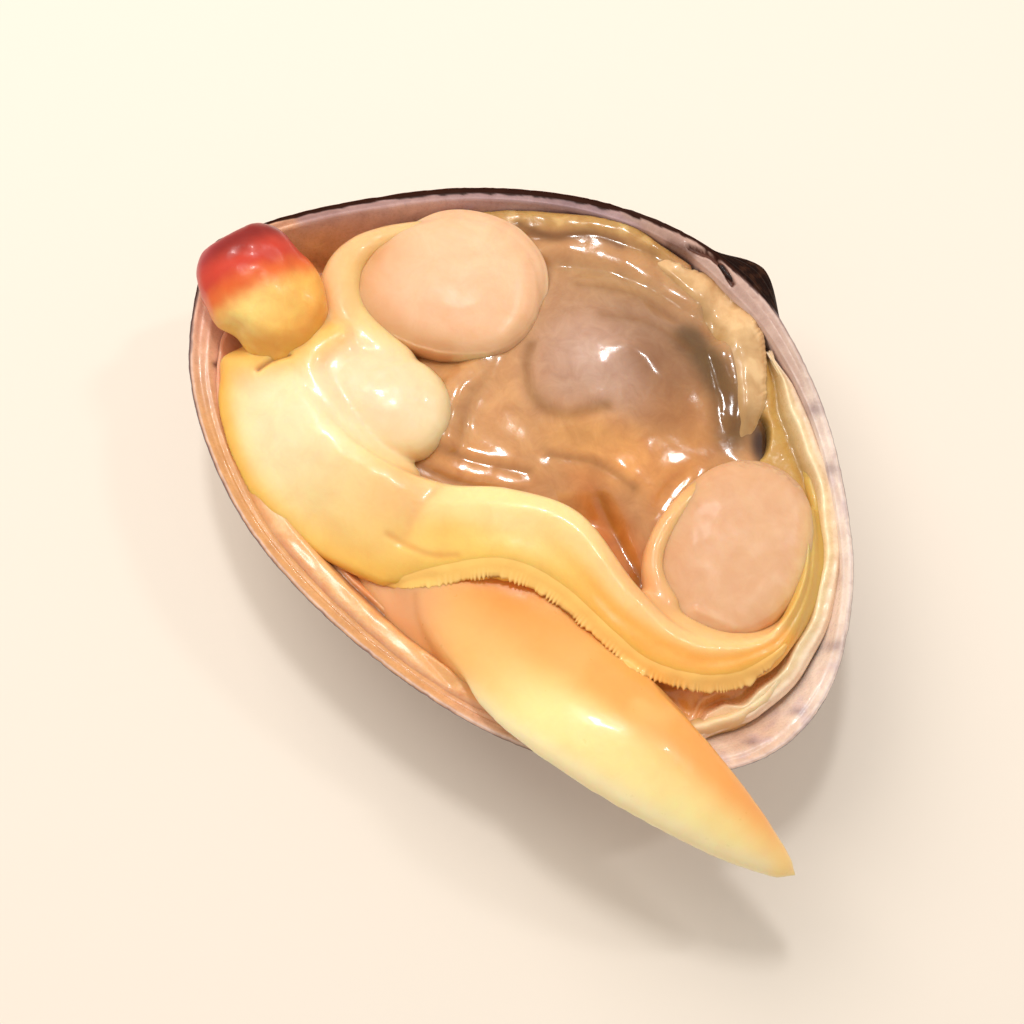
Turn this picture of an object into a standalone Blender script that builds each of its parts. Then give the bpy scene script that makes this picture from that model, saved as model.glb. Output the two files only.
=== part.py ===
"""A surf clam opened on the half shell: one valve, bowl up, with the whole animal lying in it.

Metres, +Z up. The origin is on the small flat spot that the bowl rests on. +X runs along the
valve from the siphon end to the foot end, +Y points to the hinge and the beak, and the rim of
the valve is level. Sizes are in millimetres: the pieces are modelled and cut in millimetres,
and shrunk to metres at the end.
"""

import math

import bmesh
import bpy
from mathutils import Matrix, Vector

MM = 0.001
GAP = 0.3                  # air left between neighbouring pieces

# The valve.
RIM_HEIGHT = 20.4          # level of the rim above the spot it rests on
BEAK = (6.8, 33.8)         # the point from which the valve has grown, seen from above
BEAK_DROP = 7.0            # depth of that point below the rim
BOWL_SWELL = 18.9          # depth that the bowl adds below the line from rim to beak
SWELL_RISE = 1.1           # how the swell starts at the beak ...
SWELL_FALL = 0.95          # ... and how it ends at the rim
HINGE_SHALLOWING = 0.8     # the swell fades towards the line of the hinge
BEAK_KNOB = 2.9            # extra roundness of the beak outside the hinge
BEAK_KNOB_WIDTH = 6.0
BEAK_KNOB_CROWDING = 0.6   # below 1 the knob is fullest near the beak
BEAK_KNOB_START = 8.0      # the knob grows from this line of y ...
BEAK_KNOB_FULL = 28.0      # ... to its full size at this one
SHELL_WALL = 1.3
RIM_WIDTH = 1.3
STEEPEST_LAYER = 1.6       # layers stop thickening on walls steeper than this
SLOPE_PROBE = 0.5          # the slope of the outer face is read over this distance
HINGE_PLATE = 2.3          # the rim is this wide beside the beak
HINGE_SPREAD = 15.0        # half the length of the hinge plate
RIM_LIP = 0.2              # the inner face stays this far below the rim
WALL_MIDDLE = 0.6          # place of the extra ring between the lining's edge and the rim
RIM_OUTLINE = (
    (-46.0, -4.5), (-44.6, 1.0), (-38.3, 9.8), (-27.4, 20.8), (-15.0, 28.6), (-3.0, 32.2),
    (7.5, 31.6), (16.0, 28.5), (26.0, 21.8), (36.0, 11.4), (41.3, 1.6), (42.7, -6.5),
    (40.6, -14.0), (34.6, -20.4), (26.0, -25.9), (12.0, -29.4), (-6.0, -29.3), (-23.0, -25.4),
    (-37.5, -16.6),
)

# The springy pad of the hinge.
LIGAMENT_MIDDLE = (4.2, 31.25, 19.9)
LIGAMENT_HALF = (1.5, 0.42, 0.55)
LIGAMENT_TURN = -12.0      # degrees, along the hinge

# The mantle lobe that lines the valve.
LINING_THICKNESS = 1.2
LINING_EDGE_ROLL = 0.7     # its free edge is thicker by this much
LINING_ROLL_PLACE = 0.96   # the roll's middle, as a share of the way to the edge
LINING_ROLL_WIDTH = 0.05
LINING_LIP = 0.4           # its thickness at the very edge, as a share of the full one
LINING_OUTLINE = (
    (-40.0, -6.0), (-38.5, 0.5), (-33.0, 8.5), (-24.0, 18.0), (-14.0, 25.0), (-3.0, 28.6),
    (7.5, 28.0), (15.0, 25.0), (24.0, 18.6), (33.5, 9.0), (37.6, 0.5), (38.2, -6.5),
    (35.6, -13.0), (28.0, -20.6), (12.0, -26.8), (-4.0, -27.0), (-20.0, -23.6), (-33.5, -15.6),
)
BED = SHELL_WALL + LINING_THICKNESS + 4 * GAP    # the animal lies on this layer

# The shell muscles: oval stubs, each with an outline, a top, a domed crown and a base.
POSTERIOR_OUTLINE = (
    (-29.2, 2.8), (-30.4, 8.0), (-28.8, 13.4), (-25.6, 17.2), (-20.4, 19.4), (-15.2, 18.6),
    (-11.6, 15.4), (-10.2, 11.2), (-11.6, 7.0), (-15.6, 3.6), (-20.6, 1.6), (-25.8, 1.2),
)
ANTERIOR_OUTLINE = (
    (18.6, -2.4), (16.6, 2.2), (16.4, 7.2), (18.2, 12.0), (22.0, 14.6), (26.4, 14.4),
    (30.0, 11.2), (32.2, 6.6), (32.6, 1.4), (30.4, -3.4), (26.2, -5.6), (21.8, -5.0),
)
SIPHON_MUSCLE_OUTLINE = (
    (-29.4, -7.6), (-27.6, -4.6), (-24.6, -2.2), (-20.4, -0.1), (-16.0, 0.6), (-12.4, -0.9),
    (-10.4, -4.0), (-10.6, -7.8), (-13.6, -10.2), (-18.4, -11.4), (-23.6, -11.8), (-27.8, -10.6),
)
POSTERIOR_STUB = (POSTERIOR_OUTLINE, 21.4, 1.0, 10.0)
ANTERIOR_STUB = (ANTERIOR_OUTLINE, 21.2, 0.9, 10.0)
SIPHON_MUSCLE_STUB = (SIPHON_MUSCLE_OUTLINE, 21.6, 1.2, 12.0)
STUB_FOOT = 0.9            # a stub is this narrow at its base
STUB_SHOULDER = (          # share of the outline, depth below the top, share of the crown
    (0.98, 6.0, 0.0), (1.0, 2.6, 0.0), (0.985, 1.5, 0.0), (0.94, 0.6, 0.0),
    (0.85, 0.0, 0.0), (0.66, 0.0, 0.45), (0.36, 0.0, 0.85),
)

# The gut, a brown dome between the muscles.
GUT_MIDDLE = (2.0, 5.0)
GUT_SHOULDER = 18.8        # height of its top where no swell lifts it
GUT_SIDE = 16.3            # height at which it is widest
GUT_FALL = 2.0             # its top falls by this much towards its edge ...
GUT_FALL_POWER = 6         # ... and does so close to the edge
GUT_SWELLS = (             # height, middle x and y, and spread along x and y
    (3.4, -1.0, 15.0, 11.0, 9.0),
    (1.4, 8.0, 5.0, 7.0, 6.0),
    (-1.6, 9.0, -3.0, 6.0, 3.0),
)
GUT_OUTLINE = (
    (-24.0, -8.5), (-21.5, -3.0), (-20.5, 4.0), (-19.0, 12.0), (-13.0, 21.0), (-3.0, 26.0),
    (8.0, 25.6), (16.5, 21.0), (22.5, 15.2), (24.0, 8.0), (23.5, 0.0), (21.5, -7.0),
    (13.0, -9.5), (2.0, -11.0), (-10.0, -14.0), (-20.0, -13.5),
)

# Round limbs: x, y and z of the axis, half width, half height and roll in degrees.
FOOT = (
    (-9.0, -12.0, 12.5, 5.0, 2.6, 0.0),
    (-3.0, -14.5, 14.6, 7.0, 3.4, 8.0),
    (5.0, -18.0, 17.4, 8.0, 3.6, 16.0),
    (13.0, -20.8, 20.8, 7.6, 3.2, 18.0),
    (21.0, -21.6, 23.8, 7.2, 2.9, 12.0),
    (29.0, -21.6, 24.8, 6.6, 2.7, 3.0),
    (37.0, -21.8, 23.9, 5.2, 2.3, 0.0),
    (44.0, -21.8, 21.8, 3.5, 1.7, 0.0),
    (49.5, -21.6, 19.4, 1.5, 0.9, 0.0),
)
FOOT_TIP = (51.6, -21.2, 18.0)
SIPHON = (
    (-26.6, -7.4, 17.6, 3.6, 3.0, 0.0),
    (-30.2, -7.2, 20.4, 5.0, 3.6, 0.0),
    (-34.6, -5.8, 22.8, 5.9, 3.9, 0.0),
    (-38.8, -3.9, 24.4, 6.1, 3.6, 0.0),
    (-41.8, -2.6, 25.0, 5.3, 2.9, 0.0),
    (-43.2, -2.0, 25.1, 3.8, 1.9, 0.0),
)

# Bands of mantle: x, y, z of the outer edge, x, y, z of the inner edge, and thickness.
UPPER_MANTLE = (
    (-33.0, -10.4, 18.5, -28.0, -7.0, 20.0, 3.0),
    (-34.6, -13.6, 18.8, -25.5, -9.5, 21.4, 5.0),
    (-25.8, -20.9, 18.4, -19.3, -11.9, 22.0, 5.8),
    (-15.1, -24.0, 18.0, -12.0, -11.4, 21.6, 5.0),
    (-5.0, -22.3, 18.9, -5.7, -9.4, 21.6, 4.4),
    (3.0, -16.6, 21.4, 0.0, -6.0, 22.4, 4.0),
    (10.6, -12.6, 22.0, 8.2, -3.6, 22.8, 4.0),
    (20.2, -13.8, 23.2, 17.8, -6.4, 22.6, 4.0),
    (28.8, -12.6, 22.0, 25.2, -7.4, 21.9, 3.6),
    (34.6, -7.0, 20.6, 31.2, -4.6, 21.0, 3.0),
    (36.0, -1.0, 20.0, 33.6, -0.4, 20.4, 2.4),
    (33.4, 7.6, 19.4, 32.0, 6.8, 20.0, 2.0),
    (28.6, 14.0, 19.2, 27.8, 13.0, 19.6, 1.6),
)
POSTERIOR_COLLAR = (
    (-31.4, -1.4, 20.4, -28.6, -1.4, 21.4, 2.8),
    (-33.4, 2.2, 20.4, -29.6, 2.4, 21.8, 3.2),
    (-33.8, 6.6, 20.4, -30.8, 7.4, 21.8, 3.2),
    (-31.4, 11.8, 20.4, -29.4, 12.2, 21.6, 3.0),
    (-28.0, 16.2, 20.2, -26.8, 16.2, 21.2, 2.8),
    (-22.6, 20.4, 19.8, -21.8, 19.3, 20.6, 2.4),
    (-16.0, 21.6, 19.0, -16.0, 20.3, 19.9, 1.8),
)
ANTERIOR_COLLAR = (
    (21.0, -7.2, 19.8, 22.4, -5.6, 20.8, 2.2),
    (16.8, -4.6, 20.0, 19.2, -3.4, 21.2, 2.8),
    (14.0, 0.6, 20.0, 16.6, 1.2, 21.4, 3.2),
    (13.6, 6.4, 20.0, 15.8, 6.4, 21.4, 3.0),
    (15.6, 12.0, 20.0, 17.0, 11.4, 21.0, 2.6),
    (19.6, 15.8, 19.6, 20.6, 14.9, 20.4, 2.0),
)
DORSAL_FLAP = (
    (-12.0, 26.0, 18.4, -11.0, 23.6, 19.8, 1.6),
    (-5.0, 28.4, 18.8, -4.6, 25.8, 20.6, 1.8),
    (2.0, 29.4, 19.2, 1.4, 26.2, 21.2, 2.0),
    (8.2, 29.0, 19.4, 6.4, 24.6, 21.6, 2.2),
    (13.6, 26.4, 19.4, 10.4, 21.8, 21.6, 2.2),
    (17.2, 22.4, 19.4, 13.2, 18.8, 21.4, 2.2),
    (19.2, 18.6, 19.2, 16.0, 16.4, 20.6, 1.8),
)
BAND_SECTION = (           # place across a band, and rise as a share of its thickness
    (0.0, -0.08), (0.04, 0.08), (0.24, 0.3), (0.5, 0.42), (0.76, 0.48), (0.95, 0.3),
    (1.0, -0.1), (0.88, -0.5), (0.5, -0.5), (0.12, -0.26),
)
MANTLE_SCALLOP = 0.5       # depth of the teeth along the free edge
MANTLE_SCALLOPED = (0.36, 0.74)    # the stretch of the band that has them

# The fold of mantle edge that lies on the lining at the front: outer x, y and inner x, y.
FRONT_FRILL = (
    (32.4, -16.0, 31.2, -14.6), (34.6, -13.4, 32.4, -12.4), (33.8, -10.6, 32.4, -9.4),
    (36.6, -10.6, 34.8, -8.8), (37.4, -7.8, 35.8, -6.8), (37.2, -4.4, 35.8, -4.4),
)
FRILL_LIFT = 0.9
FRILL_THICKNESS = 1.6

# The space round the animal, from which its pieces are trimmed.
ROOM_INSET = 0.3           # it starts this far inside the rim's inner edge
ROOM_OVERHANG = (0.6, 0.9)         # and passes this far outside the rim, above and below
ROOM_SIDE = 90.0
ROOM_FLOOR = -5.0
ROOM_TOP = 60.0

# Smoothness: points round each piece, and the rings it is made of.
TURN_STEPS = 44            # round the valve
BEAK_STEPS = (1.0, 0.97, 0.9, 0.8, 0.68, 0.56, 0.44, 0.33, 0.22, 0.12, 0.05)
BOWL_STEPS = (1.0, 0.96, 0.87, 0.74, 0.58, 0.4, 0.2)
OUTLINE_STEPS = 240
NEARLY_PARALLEL = 1e-9     # a ray this close to an edge's direction doesn't cross it
END_TOLERANCE = 1e-6       # a crossing may lie this far past the end of an edge
STUB_STEPS = 22
TUBE_STEPS = 14
FOOT_RINGS = 19
SIPHON_RINGS = 14
MANTLE_RINGS = 72
COLLAR_RINGS = 16
FRILL_RINGS = 12
GUT_STEPS = 28
GUT_BED_SHARES = (0.3, 0.55, 0.78)
GUT_TOP_SHARES = (0.97, 0.86, 0.7, 0.52, 0.34, 0.17)

FINISHES = {               # base colour and roughness
    "shell_finish": ((0.62, 0.46, 0.42), 0.35),
    "ligament_finish": ((0.12, 0.03, 0.02), 0.4),
    "lining_finish": ((0.93, 0.66, 0.40), 0.3),
    "flap_finish": ((0.86, 0.68, 0.42), 0.25),
    "muscle_finish": ((0.94, 0.78, 0.58), 0.25),
    "gut_finish": ((0.62, 0.36, 0.17), 0.2),
    "mantle_finish": ((0.98, 0.76, 0.32), 0.25),
    "foot_finish": ((0.99, 0.74, 0.38), 0.25),
    "siphon_finish": ((0.94, 0.42, 0.16), 0.25),
}

TAU = 2.0 * math.pi


def clear_scene():
    for old in list(bpy.data.objects):
        bpy.data.objects.remove(old, do_unlink=True)


def curve_through(points, steps, closed):
    """Points along a smooth curve that passes through the given points, of any dimension."""
    count = len(points)
    spans = count if closed else count - 1
    total = steps if closed else steps - 1
    result = []
    for step in range(steps):
        place = spans * step / total
        index = min(int(place), spans - 1)
        t = place - index
        if closed:
            a, b, c, d = (points[(index + k) % count] for k in (-1, 0, 1, 2))
        else:
            a, b, c, d = (points[min(max(index + k, 0), count - 1)] for k in (-1, 0, 1, 2))
        result.append(tuple(
            q + 0.5 * t * (r - p + t * (2 * p - 5 * q + 4 * r - s + t * (3 * (q - r) + s - p)))
            for p, q, r, s in zip(a, b, c, d)
        ))
    return result


def crossings(origin, direction, outline):
    """Distances from origin to a closed outline, along a direction in the plan."""
    found = []
    dx, dy = direction
    for (ax, ay), (bx, by) in zip(outline, outline[1:] + outline[:1]):
        ex, ey = bx - ax, by - ay
        across = dx * ey - dy * ex
        if abs(across) < NEARLY_PARALLEL:
            continue
        ox, oy = ax - origin[0], ay - origin[1]
        along = (ox * ey - oy * ex) / across
        on_edge = (ox * dy - oy * dx) / across
        if along > 0 and -END_TOLERANCE <= on_edge <= 1 + END_TOLERANCE:
            found.append(along)
    return sorted(found)


def reach(outline, angle):
    """Distance from the middle of the valve to an outline round it."""
    return crossings((0.0, 0.0), (math.cos(angle), math.sin(angle)), outline)[-1]


RIM = curve_through(RIM_OUTLINE, OUTLINE_STEPS, closed=True)
LINING = curve_through(LINING_OUTLINE, OUTLINE_STEPS, closed=True)
LONGEST_REACH = max(math.dist(BEAK, point) for point in RIM)
SWELL_PEAK = SWELL_RISE / (SWELL_RISE + SWELL_FALL)
SWELL_TOP = SWELL_PEAK ** SWELL_RISE * (1 - SWELL_PEAK) ** SWELL_FALL


def outer_height(offset, length, grown):
    """Height of the outer face on the line from the beak (grown 0) to a rim point (grown 1)."""
    lean = abs(offset[1]) / length
    swell = BOWL_SWELL * length / LONGEST_REACH * lean ** HINGE_SHALLOWING
    profile = grown ** SWELL_RISE * (1 - grown) ** SWELL_FALL / SWELL_TOP
    return max(0.0, RIM_HEIGHT - BEAK_DROP * (1 - grown) - swell * profile)


def outer_height_at(x, y):
    """Height of the outer face under a point inside the rim."""
    offset = (x - BEAK[0], y - BEAK[1])
    length = math.hypot(*offset)
    direction = (offset[0] / length, offset[1] / length)
    far = crossings(BEAK, direction, RIM)
    if not far:
        return RIM_HEIGHT
    grown = min(length / far[-1], 1.0)
    return outer_height((direction[0] * far[-1], direction[1] * far[-1]), far[-1], grown)


def layer_height(x, y, thickness):
    """Height of a layer of this thickness that lies on the outer face, measured square to it."""
    step = SLOPE_PROBE
    slope_x = (outer_height_at(x + step, y) - outer_height_at(x - step, y)) / (2 * step)
    slope_y = (outer_height_at(x, y + step) - outer_height_at(x, y - step)) / (2 * step)
    slope = min(math.hypot(slope_x, slope_y), STEEPEST_LAYER)
    return outer_height_at(x, y) + thickness * math.hypot(1.0, slope)


def rim_width(x):
    """Width of the rim, widened into the hinge plate beside the beak."""
    return RIM_WIDTH + (HINGE_PLATE - RIM_WIDTH) * math.exp(-((x - BEAK[0]) / HINGE_SPREAD) ** 2)


def margin_reach(angle):
    """Distance from the middle of the valve to the inner edge of its rim."""
    far = reach(RIM, angle)
    x, y = far * math.cos(angle), far * math.sin(angle)
    width = rim_width(x) if y > 0 else RIM_WIDTH
    return far - width


def make_material(name):
    """The finish of this name, in its colour and roughness."""
    colour, roughness = FINISHES[name]
    material = bpy.data.materials.new(name)
    material.use_nodes = True
    surface = material.node_tree.nodes["Principled BSDF"]
    surface.inputs["Base Color"].default_value = (*colour, 1.0)
    surface.inputs["Roughness"].default_value = roughness
    surface.inputs["Metallic"].default_value = 0.0
    return material


def add_object(name, bm, material):
    """A new object from a bmesh, in millimetres until shrink_to_metres."""
    bmesh.ops.recalc_face_normals(bm, faces=bm.faces)
    mesh = bpy.data.meshes.new(name)
    bm.to_mesh(mesh)
    bm.free()
    mesh.shade_smooth()
    if material is not None:
        mesh.materials.append(material)
    obj = bpy.data.objects.new(name, mesh)
    bpy.context.scene.collection.objects.link(obj)
    return obj


def skin(rings, start=None, end=None):
    """A closed mesh over a stack of equal rings, with a point or a flat cap at each end.

    It is made of triangles from the start, because bent four-sided faces upset the cuts.
    """
    bm = bmesh.new()
    rows = [[bm.verts.new(point) for point in ring] for ring in rings]
    count = len(rows[0])
    for lower, upper in zip(rows, rows[1:]):
        for i in range(count):
            j = (i + 1) % count
            bm.faces.new((lower[i], lower[j], upper[j], upper[i]))
    for row, tip in ((rows[0], start), (rows[-1], end)):
        if tip is None:
            bm.faces.new(row)
            continue
        pole = bm.verts.new(tip)
        for i in range(count):
            bm.faces.new((row[i], row[(i + 1) % count], pole))
    bmesh.ops.triangulate(bm, faces=bm.faces)
    return bm


def turn_angles():
    return [TAU * step / TURN_STEPS for step in range(TURN_STEPS)]


def plan_ring(distance_at, height_at):
    """A ring round the middle of the valve, from its distance and its height as functions."""
    ring = []
    for angle in turn_angles():
        distance = distance_at(angle)
        x, y = distance * math.cos(angle), distance * math.sin(angle)
        ring.append((x, y, height_at(x, y)))
    return ring


def lining_ring(share, thickness):
    return plan_ring(lambda a: share * reach(LINING, a), lambda x, y: layer_height(x, y, thickness))


def wall_ring(share, thickness):
    """A ring between the edge of the lining (share 0) and the inner edge of the rim (share 1)."""
    def distance_at(angle):
        edge = reach(LINING, angle)
        return edge + share * (margin_reach(angle) - edge)
    return plan_ring(distance_at, lambda x, y: min(layer_height(x, y, thickness), RIM_HEIGHT - RIM_LIP))


def beak_knob(y, side, grown):
    """How far the outer face bulges past the hinge, at a place beside the beak."""
    dorsal = (y - BEAK_KNOB_START) / (BEAK_KNOB_FULL - BEAK_KNOB_START)
    swell = math.sin(math.pi * grown ** BEAK_KNOB_CROWDING)
    return BEAK_KNOB * min(max(dorsal, 0.0), 1.0) * swell * math.exp(-(side / BEAK_KNOB_WIDTH) ** 2)


def add_valve():
    """Outer face as ever larger copies of the rim drawn out of the beak, and an inner face."""
    rim_points = [point[:2] for point in plan_ring(lambda a: reach(RIM, a), lambda x, y: 0.0)]
    rings = []
    for grown in reversed(BEAK_STEPS):
        ring = []
        for x, y in rim_points:
            offset = (x - BEAK[0], y - BEAK[1])
            height = outer_height(offset, math.hypot(*offset), grown)
            knob = beak_knob(y, grown * offset[0], grown)
            ring.append((BEAK[0] + grown * offset[0], BEAK[1] + grown * offset[1] + knob, height))
        rings.append(ring)
    rings.append(plan_ring(margin_reach, lambda x, y: RIM_HEIGHT))
    rings.append(wall_ring(WALL_MIDDLE, SHELL_WALL))
    rings += [lining_ring(share, SHELL_WALL) for share in BOWL_STEPS]
    beak_tip = (BEAK[0], BEAK[1], RIM_HEIGHT - BEAK_DROP)
    bm = skin(rings, start=beak_tip, end=(0.0, 0.0, layer_height(0.0, 0.0, SHELL_WALL)))
    return add_object("shell", bm, make_material("shell_finish"))


def edge_roll(share):
    """Extra thickness of the lining near its free edge."""
    return LINING_EDGE_ROLL * math.exp(-((share - LINING_ROLL_PLACE) / LINING_ROLL_WIDTH) ** 2)


def add_lining():
    """The lobe of mantle that lies against the valve, with a thick rolled edge."""
    base = SHELL_WALL + GAP
    rings = [lining_ring(share, base) for share in reversed(BOWL_STEPS)]
    for share in BOWL_STEPS:
        full = LINING_THICKNESS + edge_roll(share)
        rings.append(lining_ring(share, base + (LINING_LIP * full if share == 1.0 else full)))
    low = layer_height(0.0, 0.0, base)
    bm = skin(rings, start=(0.0, 0.0, low), end=(0.0, 0.0, low + LINING_THICKNESS))
    return add_object("lower_mantle", bm, make_material("lining_finish"))


def flat_ring(distance_at, height):
    return plan_ring(distance_at, lambda x, y: height)


def add_room():
    """A cutter: all the space above the valve and its lining, which the animal may fill."""
    base = BED - GAP
    over_rim = RIM_HEIGHT + GAP
    above, below = ROOM_OVERHANG
    rings = [lining_ring(share, base + edge_roll(share)) for share in reversed(BOWL_STEPS)]
    rings.append(flat_ring(lambda a: margin_reach(a) - ROOM_INSET, over_rim))
    rings.append(flat_ring(lambda a: reach(RIM, a) + above, over_rim))
    rings.append(flat_ring(lambda a: reach(RIM, a) + below, ROOM_FLOOR))
    rings.append(flat_ring(lambda a: ROOM_SIDE, ROOM_FLOOR))
    rings.append(flat_ring(lambda a: ROOM_SIDE, ROOM_TOP))
    bm = skin(rings, start=(0.0, 0.0, layer_height(0.0, 0.0, base)))
    room = add_object("room", bm, None)
    hide_cutter(room)
    return room


def hide_cutter(obj):
    obj.hide_render = True
    obj.display_type = "WIRE"


def centre_of(outline):
    return tuple(sum(values) / len(outline) for values in zip(*outline))


def pad_rings(outline, steps, profile):
    """Rings of a pad: its outline shrunk towards the middle, at the heights of the profile."""
    points = curve_through(outline, steps, closed=True)
    cx, cy = centre_of(outline)
    return [
        [(cx + share * (x - cx), cy + share * (y - cy), height) for x, y in points]
        for share, height in profile
    ]


def add_stub(name, stub, material):
    """A cut muscle: a column with a soft shoulder and a domed top."""
    outline, top, crown, base = stub
    profile = [(STUB_FOOT, base)]
    profile += [(share, top - depth + part * crown) for share, depth, part in STUB_SHOULDER]
    cx, cy = centre_of(outline)
    rings = pad_rings(outline, STUB_STEPS, profile)
    return add_object(name, skin(rings, start=(cx, cy, base), end=(cx, cy, top + crown)), material)


def band_rings(stations, steps, scallop=0.0, scalloped=(0.0, 0.0)):
    """Rings across a band of mantle.

    On the stretch that is scalloped, every other ring is drawn in by the depth of the scallop.
    """
    rings = []
    for index, values in enumerate(curve_through(stations, steps, closed=False)):
        ox, oy, oz, ix, iy, iz, thick = values
        drawn_in = 0.0
        if index % 2 and scalloped[0] <= index / steps <= scalloped[1]:
            drawn_in = scallop / math.dist((ox, oy), (ix, iy))
        ring = []
        for across, rise in BAND_SECTION:
            place = max(across, drawn_in)
            height = oz + place * (iz - oz) + rise * thick
            ring.append((ox + place * (ix - ox), oy + place * (iy - oy), height))
        rings.append(ring)
    return rings


def tube_rings(stations, steps):
    """Oval rings round an axis given by stations of x, y, z, half width, half height and roll."""
    spine = curve_through(stations, steps, closed=False)
    rings = []
    for index, (x, y, z, wide, high, roll) in enumerate(spine):
        before = spine[max(index - 1, 0)]
        after = spine[min(index + 1, steps - 1)]
        ahead = Vector(after[:3]) - Vector(before[:3])
        ahead.normalize()
        side = ahead.cross(Vector((0.0, 0.0, 1.0))).normalized()
        up = side.cross(ahead)
        ring = []
        for step in range(TUBE_STEPS):
            angle = TAU * step / TUBE_STEPS
            across, rise = wide * math.cos(angle), high * math.sin(angle)
            tilt = math.radians(roll)
            a = across * math.cos(tilt) - rise * math.sin(tilt)
            b = across * math.sin(tilt) + rise * math.cos(tilt)
            ring.append(tuple(Vector((x, y, z)) + side * a + up * b))
        rings.append(ring)
    return rings


def add_boolean(obj, cutter, operation):
    modifier = obj.modifiers.new(operation.lower(), "BOOLEAN")
    modifier.operation = operation
    modifier.solver = "EXACT"
    modifier.use_self = True
    modifier.object = cutter


def settle(obj):
    """Take the cut shape as the mesh of the piece."""
    bpy.context.view_layer.update()
    evaluated = obj.evaluated_get(bpy.context.evaluated_depsgraph_get())
    mesh = bpy.data.meshes.new_from_object(evaluated)
    obj.modifiers.clear()
    obj.data = mesh
    mesh.name = obj.name


def shrink_to_metres(obj):
    obj.data.transform(Matrix.Scale(MM, 4))


def add_clearance(obj):
    """A cutter a little larger than a piece all round, so that what it cuts keeps its distance."""
    cutter = bpy.data.objects.new(obj.name + "_clearance", obj.data)
    bpy.context.scene.collection.objects.link(cutter)
    grow = cutter.modifiers.new("grow", "DISPLACE")
    grow.strength = GAP
    grow.mid_level = 0.0
    hide_cutter(cutter)
    return cutter


def add_foot():
    """The sword-shaped foot: it rises from under the mantle and hangs over the rim."""
    bm = skin(tube_rings(FOOT, FOOT_RINGS), end=FOOT_TIP)
    return add_object("foot", bm, make_material("foot_finish"))


def add_siphon():
    """The blunt siphon, which rests on the rim at the back end."""
    bm = skin(tube_rings(SIPHON, SIPHON_RINGS))
    return add_object("siphon", bm, make_material("siphon_finish"))


def add_upper_mantle():
    """The thick wavy band of mantle, finely toothed along its free edge."""
    rings = band_rings(UPPER_MANTLE, MANTLE_RINGS, MANTLE_SCALLOP, MANTLE_SCALLOPED)
    return add_object("upper_mantle", skin(rings), make_material("mantle_finish"))


def add_flap(name, stations, material):
    """A narrow band of thin mantle, such as a collar beside a muscle."""
    return add_object(name, skin(band_rings(stations, COLLAR_RINGS)), material)


def add_frill(material):
    """A wavy fold of the mantle edge that lies on the lining where the foot leaves the valve."""
    stations = []
    for ox, oy, ix, iy in FRONT_FRILL:
        outer = layer_height(ox, oy, BED) + FRILL_LIFT
        inner = layer_height(ix, iy, BED) + FRILL_LIFT
        stations.append((ox, oy, outer, ix, iy, inner, FRILL_THICKNESS))
    return add_object("front_frill", skin(band_rings(stations, FRILL_RINGS)), material)


def gut_height(x, y):
    """Top of the gut: a dome beside the beak, sloping off into a valley at the front."""
    height = GUT_SHOULDER
    for swell, middle_x, middle_y, spread_x, spread_y in GUT_SWELLS:
        away = ((x - middle_x) / spread_x) ** 2 + ((y - middle_y) / spread_y) ** 2
        height += swell * math.exp(-away)
    return height


def add_gut():
    """The visceral mass: it follows the lining below and is domed above."""
    cx, cy = GUT_MIDDLE
    points = curve_through(GUT_OUTLINE, GUT_STEPS, closed=True)

    def ring(share, height_at):
        plan = [(cx + share * (x - cx), cy + share * (y - cy)) for x, y in points]
        return [(x, y, height_at(x, y)) for x, y in plan]

    rings = [ring(share, lambda x, y: layer_height(x, y, BED)) for share in GUT_BED_SHARES]
    rings.append(ring(1.0, lambda x, y: GUT_SIDE))
    for share in GUT_TOP_SHARES:
        fall = GUT_FALL * share ** GUT_FALL_POWER
        rings.append(ring(share, lambda x, y: gut_height(x, y) - fall))
    bm = skin(rings, start=(cx, cy, layer_height(cx, cy, BED)), end=(cx, cy, gut_height(cx, cy)))
    return add_object("gut", bm, make_material("gut_finish"))


def add_ligament():
    """The dark springy pad in its pit in the hinge plate."""
    bm = bmesh.new()
    bmesh.ops.create_uvsphere(bm, u_segments=10, v_segments=6, radius=1.0)
    bmesh.ops.scale(bm, vec=LIGAMENT_HALF, verts=bm.verts)
    turn = Matrix.Rotation(math.radians(LIGAMENT_TURN), 4, "Z")
    bmesh.ops.rotate(bm, cent=(0.0, 0.0, 0.0), matrix=turn, verts=bm.verts)
    bmesh.ops.translate(bm, vec=LIGAMENT_MIDDLE, verts=bm.verts)
    return add_object("ligament", bm, make_material("ligament_finish"))


def add_animal():
    """The pieces that lie in the valve. Each is later cut clear of the ones before it."""
    muscle = make_material("muscle_finish")
    flap = make_material("flap_finish")
    return (
        add_stub("posterior_adductor", POSTERIOR_STUB, muscle),
        add_stub("anterior_adductor", ANTERIOR_STUB, muscle),
        add_foot(),
        add_siphon(),
        add_stub("siphon_muscle", SIPHON_MUSCLE_STUB, muscle),
        add_upper_mantle(),
        add_flap("posterior_collar", POSTERIOR_COLLAR, flap),
        add_flap("anterior_collar", ANTERIOR_COLLAR, flap),
        add_flap("dorsal_flap", DORSAL_FLAP, flap),
        add_frill(flap),
        add_gut(),
    )


def trim(pieces, room, ligament_pit):
    """Cut each piece to the room there is, and clear of its neighbours."""
    clearances = [ligament_pit]
    for piece in pieces:
        add_boolean(piece, room, "INTERSECT")
        for clearance in clearances[1:]:
            add_boolean(piece, clearance, "DIFFERENCE")
        settle(piece)
        clearances.append(add_clearance(piece))
    for cutter in (room, *clearances):
        bpy.data.objects.remove(cutter, do_unlink=True)


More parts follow.
